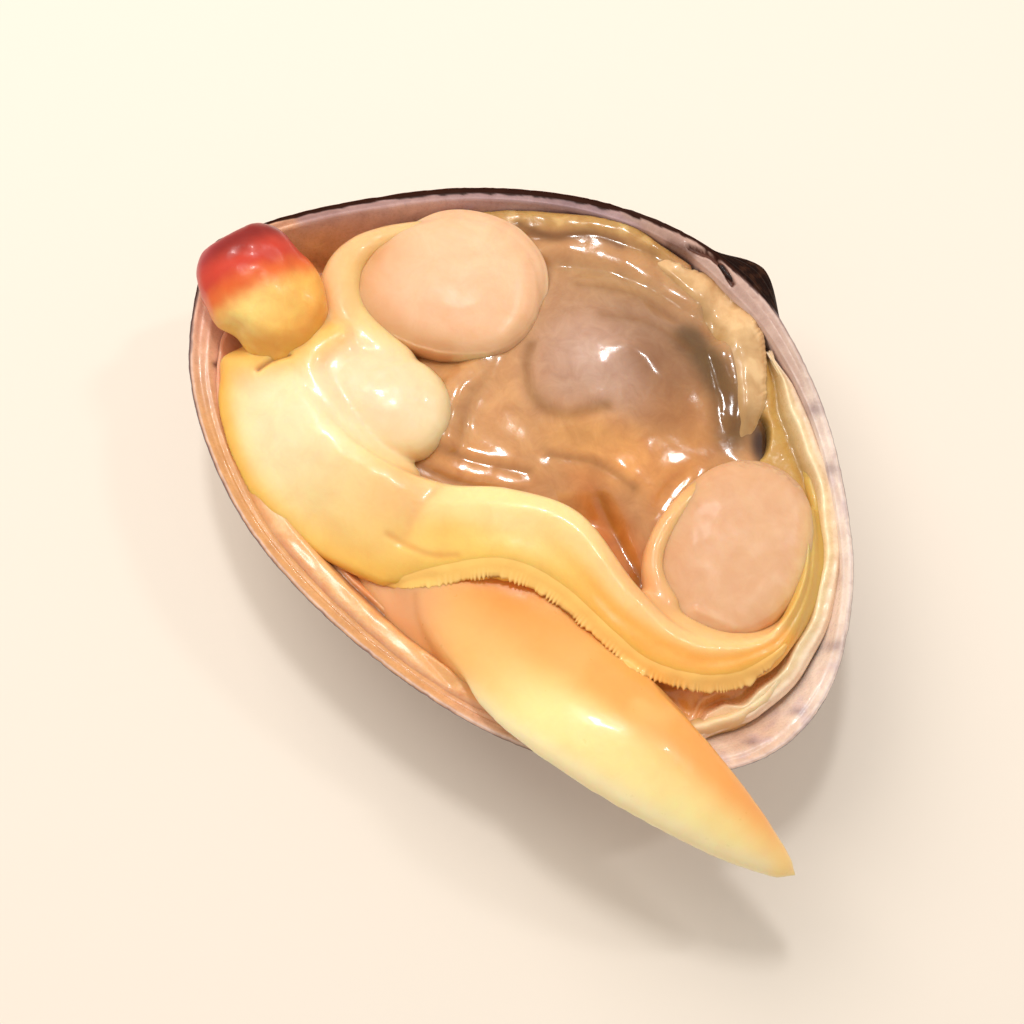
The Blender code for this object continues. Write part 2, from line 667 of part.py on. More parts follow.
def main():
    clear_scene()
    shell = add_valve()
    ligament = add_ligament()
    ligament_pit = add_clearance(ligament)
    add_boolean(shell, ligament_pit, "DIFFERENCE")
    settle(shell)
    lining = add_lining()
    room = add_room()
    pieces = add_animal()
    trim(pieces, room, ligament_pit)
    for piece in (shell, ligament, lining, *pieces):
        shrink_to_metres(piece)


main()
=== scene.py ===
import math

import bmesh
import bpy
import numpy as np
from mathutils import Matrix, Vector, noise
from mathutils.bvhtree import BVHTree


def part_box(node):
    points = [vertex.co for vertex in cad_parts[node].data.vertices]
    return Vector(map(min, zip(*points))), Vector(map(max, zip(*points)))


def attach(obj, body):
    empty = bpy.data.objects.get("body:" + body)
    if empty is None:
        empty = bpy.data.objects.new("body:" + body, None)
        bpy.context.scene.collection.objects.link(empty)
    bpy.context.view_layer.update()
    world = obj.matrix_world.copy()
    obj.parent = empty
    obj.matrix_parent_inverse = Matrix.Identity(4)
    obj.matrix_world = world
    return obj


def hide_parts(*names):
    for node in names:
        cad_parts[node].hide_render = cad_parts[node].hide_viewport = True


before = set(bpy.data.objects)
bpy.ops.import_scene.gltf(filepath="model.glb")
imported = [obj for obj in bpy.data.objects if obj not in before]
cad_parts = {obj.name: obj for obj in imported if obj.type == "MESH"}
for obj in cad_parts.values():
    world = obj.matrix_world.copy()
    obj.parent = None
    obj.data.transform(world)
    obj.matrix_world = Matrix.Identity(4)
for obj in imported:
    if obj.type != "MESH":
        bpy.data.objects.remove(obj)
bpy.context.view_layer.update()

# ------------------------
# The valve: one half of a surf clam's shell, hard and chalky, grown layer by layer from the
# beak. A dark papery skin is left along its rim and on the beak; the inside is smooth and wet,
# peach under the animal and lilac to grey where the rim is bare.
MM = 0.001
VALVE_RIM = (
    (-46, -4.5), (-44.6, 1), (-38.3, 9.8), (-27.4, 20.8), (-15, 28.6), (-3, 32.2),
    (7.5, 31.6), (16, 28.5), (26, 21.8), (36, 11.4), (41.3, 1.6), (42.7, -6.5),
    (40.6, -14), (34.6, -20.4), (26, -25.9), (12, -29.8), (-6.2, -30.1), (-23.4, -26.4),
    (-38, -17.2),
)
LINING_EDGE = (
    (-40, -6), (-38.5, 0.5), (-33, 8.5), (-24, 18), (-14, 25), (-3, 28.6),
    (7.5, 28), (15, 25), (24, 18.6), (33.5, 9), (37.6, 0.5), (38.2, -6.5),
    (35.6, -13), (28, -21), (12, -28.1), (-5, -28.5), (-21.7, -25.1), (-35.2, -16.2),
)
BEAK = np.array((6.8, 33.8))
RIM_HEIGHT = 20.4
BEAK_DROP = 7.0
BOWL_SWELL = 18.9
SWELL_RISE = 1.1
SWELL_FALL = 0.95
HINGE_SHALLOWING = 0.8
BEAK_KNOB = 2.9
BEAK_KNOB_WIDTH = 6.0
SHELL_WALL = 1.3
ROUND_THE_VALVE = 512
FROM_BEAK_TO_CENTRE = 156
OUTER_RINGS = 84
RIM_RINGS = 14
WALL_RINGS = 18


def curve(points, steps, closed=False):
    """Evenly stepped places on a smooth curve through the given points, open or closed."""
    p = np.array(points, dtype=float)
    count = len(p)
    if closed:
        place = np.arange(steps) * count / steps
        index = place.astype(int)
        corners = [(index + k) % count for k in (-1, 0, 1, 2)]
    else:
        place = np.linspace(0, count - 1, steps)
        index = np.minimum(place.astype(int), count - 2)
        corners = [np.clip(index + k, 0, count - 1) for k in (-1, 0, 1, 2)]
    t = (place - index)[:, None]
    a, b, c, d = (p[corner] for corner in corners)
    return b + 0.5 * t * (c - a + t * (2 * a - 5 * b + 4 * c - d + t * (3 * (b - c) + d - a)))


def far_reach(middle, angles, outline):
    """Distance from a middle to the far side of an outline, at each angle; zero where it misses."""
    ox, oy = (outline - middle).T
    ex, ey = (np.roll(outline, -1, axis=0) - outline).T
    reach = np.zeros(len(angles))
    for number, angle in enumerate(angles):
        dx, dy = math.cos(angle), math.sin(angle)
        across = dx * ey - dy * ex
        across = np.where(np.abs(across) < 1e-9, 1e-9, across)
        along = (ox * ey - oy * ex) / across
        share = (ox * dy - oy * dx) / across
        met = along[(along > 0) & (share >= -1e-6) & (share <= 1 + 1e-6)]
        if len(met):
            reach[number] = met.max()
    return reach


FULL_TURN = np.linspace(0.0, 2 * math.pi, 1441)
rim_curve = curve(VALVE_RIM, 480, closed=True)
lining_curve = curve(LINING_EDGE, 480, closed=True)
rim_from_middle = far_reach((0.0, 0.0), FULL_TURN, rim_curve)
lining_from_middle = far_reach((0.0, 0.0), FULL_TURN, lining_curve)
rim_from_beak = far_reach(BEAK, FULL_TURN, rim_curve)
longest_reach = np.hypot(*(rim_curve - BEAK).T).max()
swell_peak = SWELL_RISE / (SWELL_RISE + SWELL_FALL)
swell_top = swell_peak ** SWELL_RISE * (1 - swell_peak) ** SWELL_FALL


def face_height(offset_y, length, grown):
    """Height of the outer face, from the beak (grown 0) to the rim (grown 1)."""
    lean = np.abs(offset_y) / np.maximum(length, 1e-6)
    swell = BOWL_SWELL * length / longest_reach * lean ** HINGE_SHALLOWING
    share = np.clip(grown, 0.0, 1.0)
    profile = share ** SWELL_RISE * (1 - share) ** SWELL_FALL / swell_top
    return np.maximum(0.0, RIM_HEIGHT - BEAK_DROP * (1 - share) - swell * profile)


def outside_height(x, y):
    """Height of the outer face under places inside the rim."""
    dx, dy = x - BEAK[0], y - BEAK[1]
    length = np.hypot(dx, dy)
    far = np.interp(np.arctan2(dy, dx) % (2 * math.pi), FULL_TURN, rim_from_beak)
    inside = far > 1.0
    far = np.where(inside, far, 1.0)
    height = face_height(dy / np.maximum(length, 1e-6) * far, far, length / far)
    return np.where(inside, height, RIM_HEIGHT)


def layer_height(x, y, thickness):
    """Height of a layer of this thickness lying on the outer face, measured square to it."""
    slope_x = outside_height(x + 0.5, y) - outside_height(x - 0.5, y)
    slope_y = outside_height(x, y + 0.5) - outside_height(x, y - 0.5)
    slope = np.minimum(np.hypot(slope_x, slope_y), 1.6)
    return outside_height(x, y) + thickness * np.hypot(1.0, slope)


def ease(low, high, value):
    """Nought up to low, one from high on, and a smooth rise between them."""
    t = np.clip((value - low) / (high - low), 0.0, 1.0)
    return t * t * (3 - 2 * t)


def hump(off, width):
    """One where this is nought, fading to nothing over the width on both sides."""
    return np.exp(-(off / width) ** 2)


def away_from(path, at):
    """Distance of each place, seen from above, from a path of straight steps."""
    path = np.array(path, dtype=float)[:, :2]
    best = np.full(len(at), 1e9)
    for a, b in zip(path, path[1:]):
        along = b - a
        t = np.clip(((at[:, :2] - a) @ along) / (along @ along), 0.0, 1.0)
        best = np.minimum(best, np.hypot(*(at[:, :2] - a - t[:, None] * along).T))
    return best


def near(path, at, width, sharp=2.0):
    """One on a path, fading to nothing over this width on both sides."""
    return np.exp(-((away_from(curve(path, 6 * len(path)), at) / width) ** sharp))


def spot(at, x, y, long, wide, turn=0.0, sharp=2.0):
    """One at the middle of a turned oval, fading to nothing past its edge."""
    c, s = math.cos(math.radians(turn)), math.sin(math.radians(turn))
    dx, dy = at[:, 0] - x, at[:, 1] - y
    r = np.hypot((dx * c + dy * s) / long, (dy * c - dx * s) / wide)
    return np.exp(-(r ** sharp))


def grainy(at, size, seed=0, octaves=2):
    """Smooth unevenness from about minus one to one, with lumps of about this size."""
    shift = Vector((seed * 7.31, seed * 3.17, seed * 5.77))
    scale = 1.0 / size
    return np.array([noise.fractal(Vector(p) * scale + shift, 0.7, 2.0, octaves) for p in at])


def linear(code):
    """The light-linear colour of a paint code such as #FFCC66."""
    parts = np.array([int(code[i:i + 2], 16) / 255 for i in (1, 3, 5)])
    return np.where(parts <= 0.04045, parts / 12.92, ((parts + 0.055) / 1.055) ** 2.4)


def paint(tint, coats):
    """Lay colours over the tint in turn, each as thickly as its share says."""
    for share, code in coats:
        share = np.clip(share, 0.0, 1.0)[:, None]
        tint[:] = tint * (1 - share) + linear(code) * share


def base_coat(at, code):
    """A tint of one colour for all of these places."""
    return np.tile(linear(code), (len(at), 1))


def level(flat):
    """Places at height nought from x and y."""
    return np.column_stack((flat, np.zeros(len(flat))))


def places(mesh):
    at = np.zeros(len(mesh.vertices) * 3)
    mesh.vertices.foreach_get("co", at)
    return at.reshape(-1, 3)


def put_places(mesh, at):
    mesh.vertices.foreach_set("co", at.ravel())
    mesh.update()


def directions(mesh):
    """Which way the surface faces at each of its vertices."""
    out = np.zeros(len(mesh.vertices) * 3)
    mesh.vertex_normals.foreach_get("vector", out)
    return out.reshape(-1, 3)


def new_mesh(name, create, **shape):
    """A mesh of a basic shape, made by one of the create operators."""
    bm = bmesh.new()
    create(bm, **shape)
    mesh = bpy.data.meshes.new(name)
    bm.to_mesh(mesh)
    bm.free()
    return mesh


def new_globe(name, steps_round, rings):
    """A fine globe's mesh, and the ring and the angle of each of its vertices."""
    mesh = new_mesh(name, bmesh.ops.create_uvsphere, u_segments=steps_round, v_segments=rings, radius=1.0)
    at = places(mesh)
    ring = np.round((np.arcsin(np.clip(at[:, 2], -1, 1)) / math.pi + 0.5) * rings)
    return mesh, ring, np.arctan2(at[:, 1], at[:, 0]) % (2 * math.pi)


def new_piece(name, mesh):
    piece = bpy.data.objects.new(name, mesh)
    bpy.context.scene.collection.objects.link(piece)
    return piece


def colour_in(piece, tint, wet=1.0):
    """Store the painted colours, and how wet each place is, on the vertices."""
    layer = piece.data.attributes.new("tint", "FLOAT_COLOR", "POINT")
    layer.data.foreach_set("color", np.column_stack((tint, np.ones(len(tint)))).ravel())
    film = piece.data.attributes.new("wet", "FLOAT", "POINT")
    film.data.foreach_set("value", np.ones(len(tint)) * wet)
    piece.data.shade_smooth()


def fill_in(tree, node, sockets):
    """Set a node's sockets to the given values, or link them to the given sockets."""
    for name, value in sockets.items():
        if isinstance(value, bpy.types.NodeSocket):
            tree.links.new(value, node.inputs[name])
        else:
            node.inputs[name].default_value = value


def add_node(tree, kind, result, sockets, **settings):
    """Add a node, fill it in and return the socket with its result."""
    node = tree.nodes.new(kind)
    for name, value in settings.items():
        setattr(node, name, value)
    fill_in(tree, node, sockets)
    return node.outputs[result]


def wet_material(name, mottle, dents, rough, depth, glow=0.35, coat=0.5, shine=0.5, film_rough=0.06):
    """Wet tissue or shell: painted colour broken up by mottling, a fine skin, and a wet film.

    The mottle is a colour, a size and a share. The dents are a height and a size.
    """
    mottle_colour, mottle_size, mottle_share = mottle
    dent_height, dent_size = dents
    material = bpy.data.materials.new(name)
    material.use_nodes = True
    tree = material.node_tree
    place = add_node(tree, "ShaderNodeTexCoord", "Object", {})
    tint = add_node(tree, "ShaderNodeAttribute", "Color", {}, attribute_name="tint")
    film = add_node(tree, "ShaderNodeAttribute", "Fac", {}, attribute_name="wet")
    clouds = add_node(tree, "ShaderNodeTexNoise", "Fac", {
        "Vector": place, "Scale": 1.0 / (mottle_size * MM), "Detail": 5.0, "Roughness": 0.62,
        "Distortion": 0.6})
    spread = add_node(tree, "ShaderNodeMapRange", "Result", {
        "Value": clouds, "From Min": 0.35, "From Max": 0.68, "To Max": mottle_share})
    colour = add_node(tree, "ShaderNodeMix", "Result", {
        "Factor": spread, "A": tint, "B": (*linear(mottle_colour), 1.0)},
        data_type="RGBA", blend_type="MULTIPLY")
    skin = add_node(tree, "ShaderNodeTexNoise", "Fac", {
        "Vector": place, "Scale": 1.0 / (dent_size * MM), "Detail": 4.0})
    dented = add_node(tree, "ShaderNodeBump", "Normal", {
        "Height": skin, "Strength": 0.6, "Distance": dent_height * MM})
    dryness = add_node(tree, "ShaderNodeMapRange", "Result", {
        "Value": film, "To Min": min(rough + 0.35, 0.9), "To Max": rough})
    patchy = add_node(
        tree, "ShaderNodeMath", "Value", {0: skin, 1: 0.12, 2: dryness}, operation="MULTIPLY_ADD")
    fill_in(tree, tree.nodes["Principled BSDF"], {
        "Base Color": colour, "Normal": dented, "Roughness": patchy, "Subsurface Weight": glow,
        "Subsurface Radius": (1.0, 0.45, 0.2), "Subsurface Scale": depth * MM, "Specular IOR Level": shine,
        "Coat Weight": coat, "Coat Roughness": film_rough, "Coat IOR": 1.38})
    return material


valve_mesh, ring, turn = new_globe("valve", ROUND_THE_VALVE, FROM_BEAK_TO_CENTRE)

# The globe's rings run from its lower pole, the beak, out over the outer face to the rim, over
# the rim, and down the inner face to the middle of the bowl.
toward = np.column_stack((np.cos(turn), np.sin(turn)))
rim_far = np.interp(turn, FULL_TURN, rim_from_middle)
lining_far = np.interp(turn, FULL_TURN, lining_from_middle)
nicks = grainy(level(toward * 38.0), 2.2, seed=1, octaves=4)
rim_place = toward * rim_far[:, None]
offset = rim_place - BEAK
length = np.hypot(*offset.T)
plate = np.where(rim_place[:, 1] > 0, hump(rim_place[:, 0] - BEAK[0], 15.0), 0.0)
rim_width = 1.3 + plate

grown = np.clip(ring / OUTER_RINGS, 0.0, 1.0) ** 0.9
outer = BEAK + grown[:, None] * offset
knob = BEAK_KNOB * np.sin(math.pi * grown ** 0.6)
knob *= hump(outer[:, 0] - BEAK[0], BEAK_KNOB_WIDTH)
knob *= np.clip((outer[:, 1] - 8.0) / 20.0, 0.0, 1.0)
outer_z = face_height(offset[:, 1], length, grown)
age = grown * longest_reach
growth = 0.6 * np.sin(age * 2.1 + 1.3 * np.sin(age * 0.37)) + 0.4 * np.sin(age * 5.3 + age * 0.31)
growth *= ease(0.08, 0.3, grown) * (1 - ease(0.97, 1, grown))
outer += offset / length[:, None] * (growth * 0.16)[:, None]
outer[:, 1] += knob
outer_z = np.where(outer_z > 0.6, outer_z - 0.1 * growth, outer_z)

over = np.clip((ring - OUTER_RINGS) / RIM_RINGS, 0.0, 1.0)
lip = toward * (rim_far - over * rim_width)[:, None]
lip_z = RIM_HEIGHT - 0.3 * np.clip(1 - over / 0.35, 0.0, 1.0) ** 2
lip_z -= (0.4 + 0.1 * plate) * ease(0.4, 1, over)

wall = np.clip((ring - OUTER_RINGS - RIM_RINGS) / WALL_RINGS, 0.0, 1.0)
bowl_rings = FROM_BEAK_TO_CENTRE - OUTER_RINGS - RIM_RINGS - WALL_RINGS
bowl = np.clip((ring - OUTER_RINGS - RIM_RINGS - WALL_RINGS) / bowl_rings, 0.0, 1.0)
inner_far = (rim_far - rim_width) * (1 - wall) + lining_far * wall
inner = toward * (inner_far * (1 - bowl))[:, None]
inner_z = layer_height(inner[:, 0], inner[:, 1], SHELL_WALL)
inner_z = np.minimum(inner_z, RIM_HEIGHT - 0.4 - 0.1 * plate - 0.25 * ease(0, 0.4, wall))

on_rim = (ring > OUTER_RINGS) & (ring <= OUTER_RINGS + RIM_RINGS)
on_inside = ring > OUTER_RINGS + RIM_RINGS
at = np.column_stack((
    np.where(on_inside[:, None], inner, np.where(on_rim[:, None], lip, outer)),
    np.where(on_inside, inner_z, np.where(on_rim, lip_z, outer_z)),
))
worn = ease(0.97, 1.0, grown) * (1 - over) * np.where(on_inside, 0.0, 1.0)
at[:, :2] -= toward * (np.abs(nicks) * 0.12 * worn)[:, None]

# The hinge: low teeth beside the beak, a smooth ridge, and the pit of the springy pad.
on_top = on_rim | on_inside
hinge_line = (
    (-9.6, 30.4), (-4.6, 31), (0, 31.2), (4, 30.9), (9, 29.9), (13, 28.2), (18.3, 24.8),
    (23.5, 20.6), (28, 16.2),
)
ridge = near(hinge_line, at, 1) * on_top
at[:, 2] += 0.32 * ridge
slot = near(((-1, 31), (1.6, 31.6), (3.4, 31.3), (5.6, 30.4)), at, 0.32 + 0.16 * nicks, 3) * on_top
at[:, 2] -= 0.9 * slot
tooth = near(((-2.6, 30.2), (-0.6, 30.9)), at, 0.5) + near(((8.2, 28.6), (10.6, 27.6)), at, 0.5)
at[:, 2] += 0.35 * tooth * on_top
groove = near(((10.8, 27.4), (17, 23.8), (23, 19), (28.6, 12.8)), at, 0.45)
at[:, 2] -= 0.3 * groove * on_inside
lumps = grainy(at, 5.0, seed=2)
at[:, 2] += 0.1 * lumps * np.where(on_inside, 1 - bowl, 0.0)

tint = base_coat(at, "#E9DAD6")
x, y = at[:, 0], at[:, 1]
outside = np.where(on_top, 0.0, 1.0)
bands = grainy(np.column_stack((age * 1.6, toward * 9.0)), 5.5, seed=3, octaves=4)
paint(tint, [
    (outside * 0.7 * ease(-0.1, 0.6, bands), "#C3AAB0"),
    (outside * 0.6 * ease(0.1, 0.7, -bands), "#F3E8DC"),
    (outside * 0.45 * ease(0.5, 1, growth), "#94798A"),
])
dark_side = ease(16, 4, x) * ease(-24, -2, y)
skin_edge = 0.965 + 0.02 * nicks
papery = outside * ease(skin_edge - 0.03, skin_edge + 0.02, grown)
paint(tint, [(papery * (0.35 + 0.6 * dark_side), "#4A2A2E")])
beak_reach = np.sqrt(((x - 7.0) / 9.6) ** 2 + ((y - 35.0) / 5.6) ** 2 + ((at[:, 2] - 18.4) / 8.0) ** 2)
beak_skin = outside * ease(1.15, 0.78, beak_reach + 0.08 * nicks + 0.08 * bands)
paint(tint, [
    (beak_skin, "#22110B"),
    (beak_skin * 0.6 * ease(0, 0.6, grainy(at, 1.6, seed=24, octaves=4)), "#4E3020"),
])

inside = np.where(on_top, 1.0, 0.0)
blotch = grainy(at, 3.4, seed=4, octaves=3)
high_back = ease(8, 20, y) * ease(10, -4, x)
lilac_strip = near(((-40, 6.4), (-29, 18.4), (-17, 26.4), (-8, 29.8)), at, 0.9)
paint(tint, [
    (inside, "#EBCDBE"),
    (inside * ease(2, 16, y) * ease(12, -4, x), "#C9A190"),
    (inside * ease(-24, -34, x) * ease(-24, -10, y), "#EFBC9F"),
    (inside * ease(10, 24, x), "#F5E2D2"),
    (inside * ease(-10, -22, y) * ease(24, 4, x), "#E4AA70"),
    (inside * 0.55 * spot(at, 39, -12, 6, 3.5, 60), "#D8A67C"),
    (inside * 0.5 * spot(at, 16.5, 27.4, 6, 2, -35), "#B3937C"),
    (inside * 0.6 * ease(0.1, 0.6, blotch) * high_back, "#8A5F50"),
    (inside * 0.5 * ease(0.2, 0.7, -blotch) * high_back, "#C4A6AC"),
    (inside * 0.35 * ease(0.2, 0.7, -blotch) * ease(20, 32, x), "#C9B2C4"),
    # Partly the hollow's own orange, partly painted light: brightened to offset the siphon's shadow there.
    (inside * 0.95 * spot(at, -36.2, 5.2, 6.4, 3.4, 45), "#FFB468"),
    (inside * 0.75 * lilac_strip, "#BFA2A8"),
])
GREY_SPOTS = (
    (-16, 27.4, 1.3), (-12.6, 28.8, 1), (41, -6.5, 0.9), (39.8, 2, 1.2), (38.6, -12.4, 1),
    (22, 23.4, 1.5), (27.5, 18.6, 1.4),
)
for spot_x, spot_y, size in GREY_SPOTS:
    paint(tint, [(inside * 0.6 * spot(at, spot_x, spot_y, size, size * 0.6, 30), "#8A7078")])
paint(tint, [
    (inside * spot(at, -37, -13.6, 0.7, 0.5, 60, 3), "#5A2A24"),
    (inside * 0.7 * ease(0.2, 0.7, ridge), "#C8A798"),
    (inside * 0.9 * ease(0.2, 0.7, slot), "#5A2E1E"),
    (inside * 0.7 * near(((-3.4, 30.2), (-0.4, 30.8)), at, 0.5), "#6A4432"),
])

# The dark papery skin turned over the rim: widest at the back, a thin line at the front.
from_edge = over * rim_width
top_side = ease(4, 20, y)
dark_width = 0.14 + 0.4 * dark_side + 0.3 * dark_side * top_side + 0.22 * nicks
dark_width -= 0.45 * top_side * ease(-8, 0, x)
edge_line = 1 - ease(dark_width - 0.1, dark_width + 0.1, from_edge)
rim_skin = np.where(on_rim, edge_line, np.where(on_inside, 0.0, ease(0.98, 0.995, grown)))
front_edge = (1 - dark_side) * np.where(on_rim, hump(from_edge - 0.35, 0.14), 0.0)
paint(tint, [
    (rim_skin * (0.2 + 0.8 * dark_side), "#35190F"),
    (rim_skin * 0.5 * (1 - dark_side) * ease(20, 6, x), "#6E4450"),
    (front_edge * 0.6, "#F4E2DC"),
])
wet = np.where(on_top, 1.0 - 0.5 * rim_skin, 0.5)

put_places(valve_mesh, at * MM)
valve = new_piece("valve", valve_mesh)
colour_in(valve, tint, wet)
valve_mesh.materials.append(wet_material(
    "valve_pearl", ("#B08F92", 2.6, 0.35), (0.06, 0.4), 0.22, 0.6, glow=0.08, coat=0.3))
valve_mesh.materials.append(wet_material(
    "valve_chalk_and_paper", ("#B49A9C", 1.6, 0.45), (0.1, 0.3), 0.5, 0.5, glow=0.04, coat=0.0, shine=0.12))
rings_of_faces = np.array([ring[list(face.vertices)].mean() for face in valve_mesh.polygons])
valve_mesh.polygons.foreach_set("material_index", (rings_of_faces < OUTER_RINGS + 7).astype(int))
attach(valve, "root")
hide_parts("shell")

# ------------------------
# The ligament: the small dark springy pad that pushes the valves open. It is a gristly lump
# grown into its pit in the hinge, dry and cracked along the top.
low, high = (np.array(corner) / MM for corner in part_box("ligament"))
pad_mesh = new_mesh("hinge_pad", bmesh.ops.create_uvsphere, u_segments=48, v_segments=24, radius=1.0)
at = places(pad_mesh)
at = np.sign(at) * np.abs(at) ** np.array((0.8, 0.8, 0.7))
at[:, 2] -= 0.22 * hump(at[:, 1], 0.22) * (at[:, 2] > 0)
at *= np.array((1.5, 0.42, 0.52))
at += 0.07 * grainy(at, 0.45, seed=5, octaves=3)[:, None] * np.array((0.4, 0.7, 1.0))
c, s = math.cos(math.radians(-12.0)), math.sin(math.radians(-12.0))
at[:, :2] = at[:, :2] @ np.array(((c, s), (-s, c)))
at += (low + high) / 2
tint = base_coat(at, "#2B120D")
paint(tint, [(ease(0, 0.5, grainy(at, 0.5, seed=6)), "#6B3A22")])
put_places(pad_mesh, at * MM)
hinge_pad = new_piece("hinge_pad", pad_mesh)
colour_in(hinge_pad, tint, 0.7)
pad_mesh.materials.append(wet_material(
    "gristle", ("#3A1D12", 0.5, 0.7), (0.05, 0.15), 0.3, 0.5, glow=0.05, coat=0.3))
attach(hinge_pad, "root")
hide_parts("ligament")

# ------------------------
# The lining: the mantle lobe that lies on the valve, a thin wet skin with a thick rolled free
# edge, pinkish peach, with a dark line of painted shade in the crease under its lip. It clings to
# the shell all over.
ROUND_THE_LINING = 420
LINING_RINGS = 120
UNDER_RINGS = 40
LINING_THICKNESS = 1.2
lining_mesh, ring, turn = new_globe("mantle_lining", ROUND_THE_LINING, LINING_RINGS)
toward = np.column_stack((np.cos(turn), np.sin(turn)))
ripple = grainy(level(toward * 34.0), 3.0, seed=7, octaves=3)
calm_side = ease(-2, -12, toward[:, 1] * 30)
far = np.interp(turn, FULL_TURN, lining_from_middle) * (1 + (0.012 - 0.009 * calm_side) * ripple)
on_top = ring > UNDER_RINGS
share = np.where(on_top, (LINING_RINGS - ring) / (LINING_RINGS - UNDER_RINGS), ring / UNDER_RINGS)
share = np.where(on_top, np.minimum(share ** 0.75 * 1.004, 1.0), share)
at = level(toward * (far * share)[:, None])
z = at[:, 2]
front_side = ease(12, 26, toward[:, 0] * 38 + toward[:, 1] * 12)
roll = (0.7 + 0.7 * front_side) * hump(share - 0.965, 0.028)
roll -= 0.5 * front_side * hump(share - 0.9, 0.03)
near_side = ease(-8, -16, toward[:, 1] * 30) * ease(-25, -17, toward[:, 0] * 34)
near_side *= 1 - front_side
roll += near_side * 1.3 * ease(0.89, 0.93, share)
hind_edge = ease(-26, -31, toward[:, 0] * 34) * ease(0.84, 0.92, share)
roll -= hind_edge * (0.7 + LINING_THICKNESS * 0.8)
lip = 1 - (0.75 - 0.45 * near_side) * ease(0.975, 1, share) ** 2
thick = np.where(on_top, np.maximum((LINING_THICKNESS + roll) * lip, 0.25), 0.0)
z[:] = layer_height(at[:, 0], at[:, 1], SHELL_WALL + 0.25 + thick)
folds = grainy(at, 4.0, seed=8)
z += np.where(on_top, 0.16 * folds, 0.0)
lip_level = RIM_HEIGHT - 0.55 - 0.5 * ease(0.97, 1, share) + 0.06 * folds
z[:] = np.where(on_top, np.minimum(z, lip_level), np.minimum(z, lip_level - 0.6))
z -= np.where(on_top, 0.6 * near_side * hump(share - 0.888, 0.012), 0.0)
swollen = near(((24, -15.5), (29.5, -13), (33.5, -8.5), (35, -3)), at, 3, 4)
z += np.where(on_top, 1.3 * swollen * ease(1, 0.95, share), 0)
fold_lines = (((-6, -24.5), (0.5, -25.2), (7.5, -26.6)), ((-24, -20), (-14, -23.2), (-4, -24.8)))
for path in fold_lines:
    z += np.where(on_top, 0.28 * near(path, at, 0.7) - 0.25 * near(path, at - (0.6, -0.9, 0), 0.45), 0)

tint = base_coat(at, "#EFB075")
x, y = at[:, 0], at[:, 1]
back_side = 1 - front_side
paint(tint, [
    (ease(-0.1, 0.6, folds), "#F3BC84"),
    (ease(10, 24, y) * ease(16, 4, x), "#D9B070"),
    (0.7 * ease(0.2, 0.7, -folds) * ease(-12, -24, y), "#E5A268"),
    (ease(8, 20, x) * ease(24, 18, y), "#DDA660"),
    (0.9 * ease(18, 26, x) * ease(-2, -10, y), "#F09A48"),
    (front_side * ease(0.74, 0.86, share), "#E9C77A"),
    # Painted shade: an olive line in the trough inside the front edge's roll.
    (0.8 * front_side * hump(share - 0.905, 0.018), "#B08A48"),
    (front_side * hump(share - 0.97, 0.024), "#F5DDB0"),
    (0.6 * back_side * hump(share - 0.945, 0.02), "#FBD9A8"),
    (near_side * ease(0.885, 0.92, share), "#EFBD7E"),
    # Painted shade: a dark line in the crease under the lip on the near side.
    (0.9 * near_side * hump(share - 0.888, 0.009), "#7E4A24"),
    (0.7 * near_side * ease(0.955, 0.985, share), "#DDA688"),
    (hind_edge, "#E6A988"),
])
put_places(lining_mesh, at * MM)
lining = new_piece("mantle_lining", lining_mesh)
colour_in(lining, tint)
lining_mesh.materials.append(wet_material(
    "lining_skin", ("#E8A070", 2.4, 0.35), (0.09, 0.5), 0.3, 1.2, coat=0.4, film_rough=0.14))
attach(lining, "root")
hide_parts("lower_mantle")

# ------------------------
# The hind shell muscle: a thick round column cut across its top, of packed pale fibres, smooth
# and slippery, with a thin skin. Painted shade darkens it along its left and lower edge, where the
# gut lies against it, and lower down its sides.
def smooth_out(piece, rounds, group=""):
    """Smooth a piece, or a group of its vertices, and keep the mesh that its modifiers make."""
    even = piece.modifiers.new("even", "SMOOTH")
    even.factor = 0.5
    even.iterations = rounds
    even.vertex_group = group
    bpy.context.view_layer.update()
    evaluated = piece.evaluated_get(bpy.context.evaluated_depsgraph_get())
    done = bpy.data.meshes.new_from_object(evaluated)
    piece.modifiers.clear()
    piece.vertex_groups.clear()
    piece.data = done


